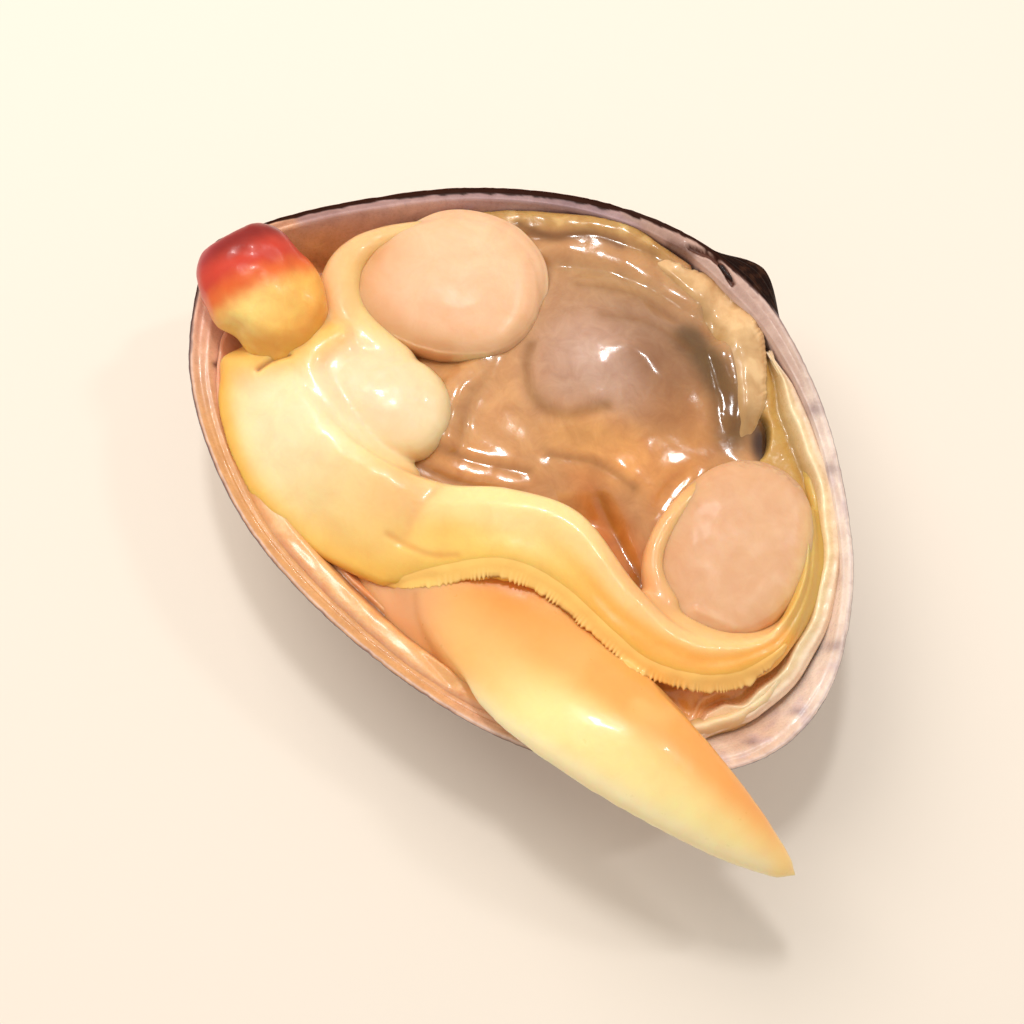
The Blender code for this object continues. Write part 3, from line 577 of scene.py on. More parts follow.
def tissue(name, nodes, swell, grain, rounds, ropes=()):
    """Swollen copies of the solids of a piece and ropes of flesh, grown into one body and smoothed.

    A rope is a path of x, y, z and radius. The mesh is in millimetres until settle_tissue.
    """
    bm = bmesh.new()
    for node in nodes:
        bm.from_mesh(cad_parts[node].data)
    bmesh.ops.remove_doubles(bm, verts=bm.verts, dist=1e-7)
    bmesh.ops.scale(bm, vec=(1 / MM, 1 / MM, 1 / MM), verts=bm.verts)
    bm.normal_update()
    for vert in bm.verts:
        vert.co += vert.normal * swell
    for rope in ropes:
        line = curve(rope, 40 * len(rope))
        gone = np.concatenate(([0.0], np.cumsum(np.linalg.norm(np.diff(line[:, :3], axis=0), axis=1))))
        stops = np.linspace(0.0, gone[-1], int(gone[-1] / (0.4 * line[:, 3].min())) + 2)
        beads = bmesh.new()
        for x, y, z, radius in zip(*(np.interp(stops, gone, part) for part in line.T)):
            bead = bmesh.ops.create_uvsphere(beads, u_segments=12, v_segments=8, radius=radius)
            bmesh.ops.translate(beads, vec=(x, y, z), verts=bead["verts"])
        string = bpy.data.meshes.new("beads")
        beads.to_mesh(string)
        beads.free()
        bm.from_mesh(string)
        bpy.data.meshes.remove(string)
    mesh = bpy.data.meshes.new(name)
    bm.to_mesh(mesh)
    bm.free()
    piece = new_piece(name, mesh)
    grow = piece.modifiers.new("grow_together", "REMESH")
    grow.mode = "VOXEL"
    grow.voxel_size = grain
    smooth_out(piece, rounds)
    piece.data.materials.clear()
    return piece


PRESSES = 18
PRESS = 0.15


def keep_inside(at):
    """Press flesh that lies below the rim against the inside of the valve's wall."""
    for _ in range(PRESSES):
        reach = np.maximum(np.hypot(at[:, 0], at[:, 1]), 1.0)
        around = np.arctan2(at[:, 1], at[:, 0]) % (2 * math.pi)
        far = np.interp(around, FULL_TURN, rim_from_middle) - SHELL_WALL - 0.3
        wall_face = layer_height(at[:, 0], at[:, 1], SHELL_WALL + 0.1)
        sunk = (at[:, 2] < wall_face) | (reach > far)
        push = PRESS * sunk * ease(RIM_HEIGHT + 0.3, RIM_HEIGHT - 0.5, at[:, 2])
        push *= ease(4.5, 3, reach - far)
        at[:, :2] *= (1 - push / reach)[:, None]
    low = (reach < far) & (at[:, 2] < wall_face - 0.4)
    at[low, 2] = np.minimum(wall_face[low] - 0.4, RIM_HEIGHT - 0.6)
    return at


def surface(piece):
    """A piece's vertices, their heights, and how far up each one faces."""
    at = places(piece.data)
    return at, at[:, 2], directions(piece.data)[:, 2]


def settle_tissue(piece, at, tint, material, nodes):
    put_places(piece.data, keep_inside(at) * MM)
    colour_in(piece, tint)
    piece.data.materials.append(material)
    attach(piece, "root")
    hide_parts(*nodes)


HIND_CUT = 20.8
HIND_MUSCLE_ROPES = (
    ((-28.4, 12.6, 19, 1.7), (-26.2, 16.4, 19, 1.9), (-22.6, 18.6, 19, 2), (-18.6, 19.2, 19, 2.1),
     (-14.8, 18, 19, 2), (-12.4, 15, 19, 1.9), (-11.8, 11.4, 19, 1.9)),
)
hind_muscle = tissue(
    "hind_muscle", ("posterior_adductor",), swell=0.6, grain=0.22, rounds=30, ropes=HIND_MUSCLE_ROPES)
at, z, up = surface(hind_muscle)
top = ease(0.2, 0.7, up)
lumps = grainy(at, 3.5, seed=10)
z -= top * 0.45
z += top * 0.05 * lumps
z[:] = np.where(top > 0, np.minimum(z, HIND_CUT + 0.65 * (z - HIND_CUT)), z)
z += top * 0.14 * near(((-15.5, 17), (-12.2, 13), (-11.6, 9)), at, 0.9)
z -= top * 0.25 * near(((-29.8, 7), (-28, 3.4), (-22, 1.8), (-16, 3.2)), at, 1)
tint = base_coat(at, "#EDBE94")
# Painted shade along the sunken left and lower edge of the muscle's top.
left_edge_shade = near(((-30.4, 9), (-29.6, 4.4), (-26, 1.8), (-21, 1.6), (-16, 3.4)), at, 2, 1.4)
paint(tint, [
    (0.8 * spot(at, -22, 15, 9, 5, 20), "#F6CFA8"),
    (0.75 * left_edge_shade, "#D3A06C"),
    # Painted shade where the gut lies against the muscle, and beside it a pale line that is partly the
    # muscle's clear rim and partly a painted highlight.
    (0.6 * near(((-15, 4.2), (-11.8, 7.6), (-10.6, 11.2)), at, 1.4), "#DCAF80"),
    (0.8 * near(((-14.8, 3.2), (-12, 5.6)), at, 0.45), "#F7E2A8"),
    # Painted shade: darker lower down its sides, deeper in the shell.
    (0.7 * ease(19.6, 17.5, z), "#A8713C"),
])
settle_tissue(hind_muscle, at, tint, wet_material(
    "hind_muscle_skin", ("#F3BC8C", 3.4, 0.25), (0.03, 0.6), 0.42, 2.2, glow=0.5, coat=0.22, film_rough=0.2),
    ("posterior_adductor",))

# ------------------------
# The front shell muscle: a smaller oval column, pinkish tan, cut across like the hind one.
# Its upper edge is torn where the gut's skin came away.
FRONT_CUT = 21.0
front_muscle = tissue("front_muscle", ("anterior_adductor",), swell=0.9, grain=0.25, rounds=70)
at, z, up = surface(front_muscle)
top = ease(0.2, 0.7, up)
lumps = grainy(at, 3.0, seed=11)
z -= top * 0.3
z[:] = np.where(top > 0, np.minimum(z, FRONT_CUT + 0.6 * (z - FRONT_CUT)), z)
z += top * 0.05 * lumps
torn = near(((19.4, 13.4), (22, 15), (26.4, 15.2)), at, 0.8)
z += top * torn * 0.5 * grainy(at, 0.7, seed=12)
z += top * 0.22 * near(((25.2, -4.4), (29.8, -3.4)), at, 0.5)
tint = base_coat(at, "#E2B388")
paint(tint, [
    (0.5 * ease(0, 0.7, lumps), "#E8BE98"),
    (0.6 * spot(at, 19.6, 2, 4, 8, 0), "#D69E6C"),
    (0.7 * near(((19.4, 13.4), (22, 15), (26.4, 15)), at, 1), "#CFA57E"),
    (0.7 * near(((29, 13), (32, 7), (33, 1)), at, 1.2), "#F2C98F"),
    # Painted shade: darker lower down its sides, deeper in the shell.
    (0.7 * ease(19.4, 17.4, z), "#B07A46"),
])
settle_tissue(front_muscle, at, tint, wet_material(
    "front_muscle_skin", ("#E0A884", 2.6, 0.22), (0.03, 0.6), 0.42, 2.2, glow=0.5, coat=0.22, film_rough=0.2),
    ("anterior_adductor",))

# ------------------------
# The gut: a soft glossy bag between the two muscles, with the stomach as a round dome in it,
# seen mauve and brown through a clear skin, creased and slack towards the mantle.
GUT_ROPES = (
    ((-17, 19.6, 16.6, 2), (-12, 23.2, 16.8, 2.5), (-5, 25.6, 17, 2.8), (3, 26.4, 17, 2.6)),
    ((-25.4, 19.4, 17, 1), (-20.4, 22.6, 17.9, 1.1), (-15, 25.6, 18.3, 1.2), (-9.4, 28.4, 18.5, 1.5),
     (-4.4, 28.8, 18.5, 1.2),
     (0, 29.4, 18.4, 0.8)),
    ((-24, 18.8, 16.4, 1.5), (-19, 21.6, 17.2, 1.6), (-14.6, 24.2, 17.4, 1.9), (-9, 26.8, 17.6, 2),
     (-3, 27.6, 17.6, 1.8)),
    ((10, 23, 17.4, 2.8), (13, 20.4, 17.4, 2.6), (15, 17.6, 17.2, 2.4)),
    ((19, 14, 16.4, 2.2), (21.5, 15, 15.8, 1.8)),
    ((-12, 6, 17.4, 2.6), (-12.4, 0, 17.8, 2.6), (-10, -5, 18, 2.4)),
)
gut = tissue("gut", ("gut",), swell=0.3, grain=0.27, rounds=39, ropes=GUT_ROPES)
at, z, up = surface(gut)
top = ease(0.15, 0.6, up)
big = grainy(at, 6.0, seed=13)
small = grainy(at, 1.8, seed=14)
stomach = spot(at, -0.8, 11.2, 8.4, 7.2, 20, 5)
z += top * (0.3 * big + 0.02 * small)
z += top * 0.9 * stomach
z += top * 0.5 * spot(at, 6.5, 17.5, 6, 4, -30)
stomach_rim = ((-8.8, 10.0), (-7.6, 7.4), (-4.6, 5.0), (-0.5, 5.2), (3.0, 8.8))
z -= top * 0.3 * near(stomach_rim, at, 1)
soft_creases = (
    ((-13.3, -9.4), (-8.1, -8.6), (-3.5, -7), (0.5, -4.7)),
    ((-11, -6.4), (-6, -5), (0, -2.2)),
    ((-9, 19.6), (-3, 22.4), (2.5, 23)),
    ((-4, 17.6), (1, 20.2), (6, 20.4)),
    ((1, 0.8), (6, 3), (11, 3.2)),
    ((8.5, 0.3), (13, -2.2), (18, -4.6)),
    ((-18.6, 21), (-15, 23.2), (-10.8, 26.2), (-4, 28.2)),
)
for path in soft_creases:
    z -= top * 0.26 * near(path, at, 0.7, 1.4)
    z += top * 0.12 * near(path, at - (0.5, 1, 0), 1)
z -= top * 0.7 * spot(at, 13.5, -2.4, 6, 2, -25)
tint = base_coat(at, "#CE9A66")
strip_tint = near(((-26, 20), (-19, 23.4), (-14, 26.4), (-9, 29), (-4, 29.4)), at, 1.7, 3)
paint(tint, [
    (ease(-0.1, 0.5, big) * 0.5, "#DBA670"),
    (0.85 * spot(at, -3, 17.5, 13, 7, 20, 3), "#BC9270"),
    (0.85 * stomach, "#C6A08A"),
    (0.8 * spot(at, -1.6, 12.6, 3.6, 2.2, 20), "#D6B4A2"),
    (0.6 * spot(at, -5, 22.6, 8, 2.4, 18), "#B48C58"),
    (0.7 * spot(at, 2, 20.4, 6, 2.4, 10), "#A58064"),
    (0.85 * spot(at, 5, 16.6, 5.4, 3.4, -10, 3), "#9A6C48"),
    # Partly the stomach's own outline, partly painted shade in the dent around it.
    (0.7 * near(stomach_rim, at, 0.8), "#8E6130"),
    # Partly the gut's own olive, partly painted shade under the flap's edge.
    (0.95 * near(((5.6, 21.8), (9.6, 20.6), (13.4, 18.4), (15.8, 15.6)), at, 2.4, 3), "#6A4A1C"),
    (0.6 * spot(at, 10, 12.6, 4, 5, -40), "#B87840"),
    (0.9 * spot(at, 7.6, 5.4, 8.6, 3.8, 12, 3), "#EFAA62"),
    (0.7 * spot(at, 2.6, 4.6, 5, 2.4, 30), "#D9A25E"),
    (0.75 * spot(at, -8, 1.5, 5, 7, 30), "#DDA670"),
    (0.85 * spot(at, -6, -5.6, 9, 2.6, 20), "#E4A563"),
    # Partly the valley's own orange, partly painted shade in the dent.
    (0.9 * spot(at, 12.6, -2.4, 8, 2.4, -22, 3), "#D67C2A"),
    (0.7 * spot(at, 14.6, 8, 2.6, 6, 10), "#E09A50"),
    (0.9 * strip_tint, "#C79C58"),
    (0.7 * strip_tint * ease(0.1, 0.5, small), "#E2BC7C"),
    (0.8 * near(((-19.4, 21.8), (-15.4, 22.8), (-11.8, 25.6), (-8, 26.8)), at, 0.6), "#7A5024"),
])
# Painted shade darkens each soft crease.
for path in soft_creases:
    paint(tint, [(0.45 * near(path, at, 0.7, 1.4), "#94602E")])
paint(tint, [
    # Painted shade: darker lower down, deeper in the shell.
    (0.7 * ease(17.4, 15.2, z), "#8A5424"),
    # Painted shade: near-black for the hole between the gut and the front muscle.
    (0.95 * spot(at, 19.6, 17.2, 3, 1.6, -50, 4) * ease(19.4, 18.2, z), "#32140A"),
])
settle_tissue(gut, at, tint, wet_material(
    "gut_skin", ("#B07A48", 2.4, 0.3), (0.05, 1.1), 0.12, 2.4, glow=0.45, coat=1.0),
    ("gut",))

# ------------------------
# The flap beside the hinge: a thin ragged fold of mantle skin that lies on the gut along the
# hinge, pale yellow-beige, half clear, with a frayed upper edge.
def ribbon(name, steps_along, steps_across):
    """A flat strip of skin, with the share along it and across it at each vertex."""
    mesh = new_mesh(
        name, bmesh.ops.create_grid, x_segments=steps_along, y_segments=steps_across, size=0.5)
    flat = places(mesh)
    return mesh, flat[:, 0] + 0.5, flat[:, 1] + 0.5


def places_along(path, along, steps=400):
    """Places at these shares of a path."""
    line = curve(path, steps)
    stops = np.linspace(0.0, 1.0, steps)
    return np.column_stack([np.interp(along, stops, part) for part in line.T])


def height_of(pieces, at):
    """Height of the highest of these pieces under each place; minus one where there is none."""
    bpy.context.view_layer.update()
    graph = bpy.context.evaluated_depsgraph_get()
    trees = [BVHTree.FromObject(piece, graph) for piece in pieces]
    height = np.full(len(at), -1.0)
    for number, (x, y) in enumerate(at[:, :2] * MM):
        hits = [tree.ray_cast((x, y, 0.06), (0.0, 0.0, -1.0))[0] for tree in trees]
        height[number] = max([hit.z / MM for hit in hits if hit] + [-1.0])
    return height


def drape(height, along, across, fall, rounds):
    """Let a strip fall no faster than this from one step across to the next, and even it out."""
    order = np.lexsort((along, across)).reshape(len(np.unique(np.round(across, 5))), -1)
    for before, after in zip(order, order[1:]):
        height[after] = np.maximum(height[after], height[before] - fall)
    sheet = height[order]
    for _ in range(rounds):
        sheet[1:-1] = (sheet[:-2] + 2 * sheet[1:-1] + sheet[2:]) / 4
        sheet[:, 1:-1] = (sheet[:, :-2] + 2 * sheet[:, 1:-1] + sheet[:, 2:]) / 4
    height[order] = sheet
    return height


def settle_skin(mesh, at, tint, thickness, material, nodes):
    put_places(mesh, at * MM)
    if directions(mesh)[:, 2].mean() < 0:
        mesh.flip_normals()
    skin = new_piece(mesh.name, mesh)
    thick = skin.modifiers.new("thickness", "SOLIDIFY")
    thick.thickness = thickness * MM
    thick.offset = -1.0
    colour_in(skin, tint)
    mesh.materials.append(material)
    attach(skin, "root")
    if nodes:
        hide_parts(*nodes)


FLAP_INNER = (
    (-4.6, 27), (1, 25.6), (4.6, 24.2), (7.2, 23.2), (9.6, 21.8), (11.8, 19.8), (13.6, 17.8),
    (15.4, 15.8), (17.4, 14.2),
)
FLAP_OUTER = (
    (-3.4, 28.4), (0.1, 29.2), (3.2, 30.4), (6.2, 30.1), (9.3, 29.2), (12.4, 27.2), (15.2, 23.8),
    (17.2, 20.4), (18.2, 15.4),
)
flap_mesh, along, across = ribbon("hinge_flap", 220, 40)
inner, outer = (places_along(edge, along) for edge in (FLAP_INNER, FLAP_OUTER))
fray = grainy(level(np.column_stack((along * 42.0, across * 2.0))), 1.9, seed=15, octaves=3)
reach = across * (1 + (0.04 + 0.05 * fray) * ease(0.6, 1, across))
at = level(inner + (outer - inner) * reach[:, None])
lies = height_of((gut,), at)
gut_top = lies.copy()
lies = drape(np.maximum(lies, 17.6), along, across, fall=0.05, rounds=60)
folds = grainy(at, 2.6, seed=19)
body = ease(0, 0.6, across) * (1 - 0.45 * ease(0.86, 1, across) ** 2)
body *= ease(0, 0.1, along) * ease(1, 0.8, along)
frayed = 0.1 * fray * ease(0.8, 1, across)
at[:, 2] = np.minimum(lies, 20.9) - 0.16 + body * (0.75 + 0.1 * folds) + frayed
free = ease(0, 0.5, across)
at[:, 2] = at[:, 2] * free + np.maximum(gut_top - 0.3, 16.8) * (1 - free)
tint = base_coat(at, "#E6BC86")
inner_side = ease(0.62, 0.12, across)
paint(tint, [
    (0.8 * spot(at, 11, 25, 5.6, 2.8, -40), "#F2CE98"),
    (0.8 * ease(23, 17, at[:, 1]), "#B38C56"),
    (inner_side, "#B08850"),
    (inner_side * ease(0.3, 0.1, across) * ease(24, 20, at[:, 1]), "#8A6632"),
    (0.6 * ease(0.9, 1, across), "#EFD2A0"),
    (0.5 * ease(0.1, 0.6, -folds), "#C0945C"),
])
settle_skin(flap_mesh, at, tint, 0.5, wet_material(
    "flap_skin", ("#C79867", 1.6, 0.3), (0.03, 0.5), 0.24, 0.6, glow=0.08, coat=0.7),
    ("dorsal_flap",))

# ------------------------
# The mantle: one thick muscular band that runs from the siphon past the gut to the front, with
# a cream crest, a yellow outer half and a thin free edge. The cream siphon muscle and the
# collars round the shell muscles are all grown together with it.
def calm(piece, areas, rounds):
    """Smooth a piece further inside a few soft oval areas, each x, y, long, wide and turn.

    The areas of an earlier call are smoothed again by a later one.
    """
    at = places(piece.data)
    share = np.max([spot(at, *area, sharp=6) for area in areas], axis=0)
    group = piece.vertex_groups.new(name="calm")
    for level in range(1, 11):
        chosen = np.nonzero(np.round(share * 10) == level)[0]
        group.add(chosen.tolist(), level / 10, "REPLACE")
    smooth_out(piece, rounds, "calm")


MANTLE_ROPES = (
    # The hind collar, from the siphon muscle round the hind shell muscle.
    ((-20, -1, 19.3, 2.4), (-24.5, -1.2, 19.4, 2.9), (-28.6, -0.2, 19.4, 3), (-31.6, 3, 19.4, 2.6),
     (-32.4, 6.8, 19.4, 2), (-30.9, 10.6, 19.3, 1.5), (-28.2, 14.2, 19.1, 1.1), (-25.8, 16.6, 18.7, 0.8)),
    # Under the siphon's root.
    ((-30, -3, 19.6, 2.8), (-31.6, -7.6, 19.4, 2.8), (-32.6, -11, 18.8, 2.2)),
    # The rolled left edge along the valve's wall.
    ((-34.2, -9.6, 18.4, 2), (-34.3, -12.8, 18.6, 2.1), (-32.6, -16, 18.6, 2.2), (-29.1, -19.1, 18.5, 2.2),
     (-24.9, -21.7, 18.4, 2.1), (-20.5, -23.1, 18.2, 2), (-15.6, -23.4, 18.1, 1.8), (-11, -22.8, 18, 1.6),
     (-6, -21.6, 18.2, 1.6)),
    # Behind the rolled edge, so that no gap is left there.
    ((-31, -15, 18.2, 2.4), (-27, -17.8, 18.3, 2.5), (-23.4, -19.8, 18.2, 2.5), (-19.4, -20.8, 18.1, 2.4),
     (-14, -21.4, 18, 2.2)),
    # The fold that wraps the siphon's root.
    ((-35.4, -12.6, 18.6, 2), (-33.6, -12.3, 19.7, 2.3), (-31, -10.4, 20.5, 2.5), (-28.6, -7.4, 20.9, 2.6),
     (-27, -3.2, 21, 2.4)),
    # Between the siphon muscle and the band, which have no border.
    ((-25.8, -3.6, 19.9, 2.9), (-24.4, -7.6, 19.9, 3)),
    ((-28, -5, 20.4, 3), (-27, -8.6, 20.4, 3.2), (-22, -10.6, 20.2, 3.2), (-16, -11.8, 19.6, 2.8),
     (-11, -11.6, 19, 2.2)),
    # The front collar, and the skin from the band up to the front shell muscle.
    ((21.4, 14.6, 18.8, 0.8), (18.7, 11.6, 19.7, 0.9), (17, 7.6, 20.2, 1.1), (16.6, 2.6, 20.4, 1.25),
     (17.4, -1.6, 20.4, 1.3), (19.2, -4.2, 20.3, 1.5), (22, -6, 20.1, 2)),
    ((20.6, -7.6, 20.2, 2.3), (25.6, -7.6, 19.9, 2.6), (30.4, -6, 19.4, 2.6), (34, -2, 18.9, 2),
     (34.6, 3, 18.4, 1.5), (33.4, 8, 18, 1.3), (30.6, 12.8, 17.6, 1.1), (26.8, 16.8, 17.3, 1),
     (23.6, 19, 17, 0.7)),
)
mantle = tissue(
    "mantle", ("upper_mantle", "siphon_muscle"), swell=0.3, grain=0.26, rounds=26, ropes=MANTLE_ROPES)
calm(mantle, ((-24, -18, 14, 5, -28), (-10, -18, 8, 4, 0)), rounds=40)
calm(mantle, (
    (-24, -7.4, 7.5, 4.6, -20), (-15, -12.6, 5, 2.6, -12), (-11, -11, 3.6, 3, 0), (-21, -11.6, 7, 2.8, -15),
    (-27, -10, 3.6, 3, 0), (-26, -5.2, 4.4, 6, 0), (-29, 3, 4, 8, 0), (26, -7.5, 9, 2.6, 0),
    (34, 3, 2.2, 8, 0)), rounds=220)
FREE_EDGE = (
    (-36.2, -11.4), (-35.8, -14.6), (-32.6, -18.4), (-25.5, -23.4), (-17, -25.2), (-7.3, -23.6),
    (-2.3, -21.2), (2.4, -16.5), (5.1, -14.4), (8.4, -13.2), (12.2, -13), (19.3, -13.9), (26.7, -13.5),
    (32.1, -10.5), (35.5, -3.7), (35.7, -0.3), (34.4, 5.5), (31.5, 10.4), (27.6, 14.8),
)
GUT_SIDE = (
    (-28.3, -8.5), (-23.3, -11), (-17.4, -12.4), (-11.4, -10.4), (-4.2, -7.7), (0.8, -4.9),
    (5, -2.9), (9.2, -2.9), (13.9, -4.5), (18.5, -6.1), (21.2, -5.9), (26.6, -5), (31, -3),
    (33.2, 0.6), (32.4, 6), (29.6, 11),
)


def mantle_tint(at):
    """The band's colours, and how far each place lies from the free edge (0) to the gut (1)."""
    to_free = away_from(curve(FREE_EDGE, 90), at)
    to_gut = away_from(curve(GUT_SIDE, 90), at)
    across = to_free / (to_free + to_gut + 1e-6)
    front = ease(6, 18, at[:, 0])
    tint = base_coat(at, "#FCCD6C")
    left_part = ease(-8, -16, at[:, 0])
    left_rim = near(((-35.6, -11.4), (-35.2, -14.6), (-32, -18.4), (-25, -23), (-16, -25)), at, 1.3)
    collar = near(((-29, -1), (-32.6, 3), (-33.4, 7), (-31, 12.6), (-25.6, 18.6), (-19, 21.4)), at, 2.8)
    front_collar = near(((21.6, -5.6), (17.4, -3.4), (15.4, 1), (15.6, 7), (19.4, 14)), at, 2)
    paint(tint, [
        (front, "#F8B554"),
        (ease(0.42, 0.75, across), "#FCE3A2"),
        (front * ease(0.45, 0.85, across), "#F6C583"),
        ((1 - 0.7 * left_part) * ease(0.3, 0.06, across), "#FCC456"),
        (front * ease(0.3, 0.06, across), "#F8B24A"),
        (0.9 * spot(at, 2, -9, 7, 2.6, 10), "#FCE6A4"),
        (0.95 * spot(at, -25, -14.6, 10.5, 7, -28, 4), "#FDEDC2"),
        (0.7 * spot(at, -14, -17.6, 8, 4.6, 10), "#FDDC9C"),
        (0.7 * spot(at, -10, -12.6, 4, 4, 0), "#F3B878"),
        (0.85 * left_rim, "#FABB50"),
        (0.95 * spot(at, -19, -5.2, 10, 6.2, 5, 4), "#F7DDB6"),
        (0.9 * collar, "#F2C28C"),
        (0.85 * near(((-27.8, -3.4), (-29.2, -7.8), (-32.2, -10.6), (-35.6, -12.4)), at, 2.1), "#FAC768"),
        (0.9 * front_collar, "#E9B078"),
        (near(((34.6, 2), (33.6, 8), (30.6, 13), (26.8, 17), (22.6, 19.6)), at, 2.2, 4), "#DDB45E"),
        # Painted shade in the two creases that are dented into the band.
        (0.35 * near(((-8, -18.2), (-3, -17.4), (0, -15.6)), at, 0.4), "#E0A050"),
        (0.3 * near(((-6.4, -10.4), (-6.9, -13.6), (-6.2, -17)), at, 0.6), "#E2A060"),
    ])
    return tint, across


at, z, up = surface(mantle)
top = ease(0, 0.5, up)
tint, across = mantle_tint(at)
lumps = grainy(at, 4.5, seed=16)
right_part = ease(-10, 2, at[:, 0])
z += top * 0.12 * lumps
z += top * 0.35 * hump(across - 0.78, 0.14) * right_part
z -= top * 0.22 * hump(across - 0.42, 0.12) * right_part
z -= top * 0.5 * near(((-6.4, -10.4), (-6.9, -13.6), (-6.2, -17.6)), at, 1.5)
SLIT = ((-31.8, -11.9), (-31.1, -10.1), (-29.8, -8.5))
z -= top * 0.6 * near(SLIT, at, 0.35, 1.5)
z -= top * 0.12 * near(((-8, -18.4), (-3, -17.6), (0, -15.8)), at, 0.4)
paint(tint, [
    # Painted shade: an orange shade beside the slit and a dark line in it.
    (0.5 * near(SLIT, at - (-0.5, 0.7, 0), 1.1), "#F3B458"),
    (0.75 * near(SLIT, at, 0.22), "#A9652A"),
    # Painted shade: darker lower down, deeper in the shell.
    (0.6 * ease(18.4, 16.4, z), "#C98438"),
])
lip_material = wet_material(
    "lip_skin", ("#F0A450", 3.0, 0.14), (0.03, 0.5), 0.28, 0.5, glow=0.05, coat=0.4)
mantle_material = wet_material(
    "mantle_skin", ("#F0A450", 3.0, 0.14), (0.04, 0.7), 0.26, 2.2, glow=0.5, coat=0.4)
settle_tissue(mantle, at, tint, mantle_material,
              ("upper_mantle", "siphon_muscle", "posterior_collar", "anterior_collar"))

# ------------------------
# The siphon: a short blunt barrel of muscle that stands over the rim at the hind end, red at
# its tip and yellow at its root, where it is grown into the mantle.
SIPHON_MIDDLE = (-34.5, -4.0, 0.0)
SIPHON_ROPES = (
    ((-39, -0.6, 23.6, 2.6), (-35, -1.2, 23.2, 3.2), (-31.8, -2.8, 22.6, 3)),
    ((-40.6, -7.4, 23, 2.6), (-36, -7.6, 22.6, 2.8), (-33, -8, 21.6, 2.6)),
)
siphon = tissue("siphon_barrel", ("siphon",), swell=0.3, grain=0.24, rounds=34, ropes=SIPHON_ROPES)
at, z, up = surface(siphon)
facing = directions(siphon.data)
top = ease(0, 0.5, up)
lumps = grainy(at, 3.0, seed=21)
at += facing * (0.12 * lumps)[:, None]
z -= top * 0.25 * near(((-40.6, -3.6), (-37.4, -1.6), (-33.6, -0.6)), at, 1.2)
x, y = at[:, 0], at[:, 1]
from_root = -0.889 * (x + 36.6) + 0.458 * (y + 4.6) + 0.35 * grainy(at, 2.2, seed=22)
unpulled = z.copy()
rounded = ease(4.2, 7.6, np.hypot(*(at - SIPHON_MIDDLE)[:, :2].T)) * ease(-0.6, -3.6, from_root)
at -= ((at - SIPHON_MIDDLE) * (0.16, 0.16, 0.0) + (0.0, 0.0, 0.8)) * rounded[:, None]
tint = base_coat(at, "#FBC45E")
paint(tint, [
    (0.9 * spot(at, -36, -7.4, 4.4, 3, 60), "#FDE088"),
    # Painted shade: an orange line along the siphon's edge where it overlaps the hind collar.
    (0.8 * near(((-29.4, -4.6), (-30, -1), (-32.6, 1.8)), at, 1.6), "#F9AE4C"),
    # Painted shade: orange at the root, where the siphon sinks under the mantle.
    (0.7 * ease(-4.6, -6.8, from_root), "#F6B450"),
    (ease(-1.8, 1, from_root), "#E8702E"),
    (ease(0.6, 2.8, from_root), "#D2432C"),
    (0.9 * ease(3.2, 6.2, from_root), "#80120E"),
    (0.7 * near(((-44.6, -8), (-45.2, -4), (-44.6, -1)), at, 1.5), "#C04450"),
    (0.5 * near(((-43.6, 1.8), (-41, 3)), at, 1.1), "#8E1A20"),
    # Painted shade: darker lower down, on the underside.
    (0.5 * ease(20.8, 18.8, unpulled), "#B8622C"),
])
settle_tissue(siphon, at, tint, wet_material(
    "siphon_skin", ("#E88A40", 2.0, 0.2), (0.05, 0.6), 0.3, 2.0, glow=0.4, coat=0.25, film_rough=0.12),
    ("siphon",))

# ------------------------
# The foot: a long smooth sword of muscle that hangs out over the rim. A soft ridge runs down
# it, orange peach on the upper side of the ridge and yellow below, with a thin cream edge.
FOOT_ROPES = (
    ((-9, -21.6, 15.6, 2.2), (-4, -23.4, 15.9, 2.4), (2, -25, 16.3, 2.3), (7, -26.4, 16.8, 1.8)),
    ((-3.4, -20, 17.6, 2.4), (0, -21.2, 18.3, 2.5), (4.4, -22.8, 18.8, 2.5), (9, -24.2, 19, 2.5),
     (14, -25, 19.3, 2), (18, -25.2, 19.8, 1.4)),
    ((-1, -18.6, 18.2, 2.4), (3, -19.6, 19, 2.4), (7.4, -21.4, 19.4, 2.4)),
    ((-3, -18, 17.4, 3), (3, -15.4, 18.4, 2.8), (9, -13.6, 19, 2.5), (14, -14, 20, 2.5),
     (20, -15.2, 21.2, 2.4), (26, -15.8, 21.8, 2.2), (31, -16.6, 22.4, 1.9)),
)
foot = tissue("foot", ("foot",), swell=0.15, grain=0.35, rounds=30, ropes=FOOT_ROPES)
calm(foot, ((3, -21.4, 9, 5, -26), (14, -16.4, 16, 3.6, 0), (12, -25, 10, 3, 0)), rounds=200)
at, z, up = surface(foot)
top = ease(0, 0.5, up)
lumps = grainy(at, 6.0, seed=18)
z += top * 0.06 * lumps
ridge_line = ((2, -17.6), (12, -20), (22, -20.8), (34, -21), (46, -21.6))
z += top * 0.15 * near(ridge_line, at, 2.4)
skin_fold = ((-1.4, -21.8), (0.3, -23.6), (3.1, -25.2), (6.6, -26.6))
z -= top * 0.15 * near(skin_fold, at, 0.5, 1.4)
tint = base_coat(at, "#FDCB78")
x, y = at[:, 0], at[:, 1]
lower_side = ease(1.6, -4, y + 20.2)
outer_part = ease(6, 22, x - 0.6 * (y + 22))
low_edge = near(((10, -27.8), (17, -28.3), (28.8, -27.4), (41.1, -25.6), (47.7, -23.5)), at, 1.3)
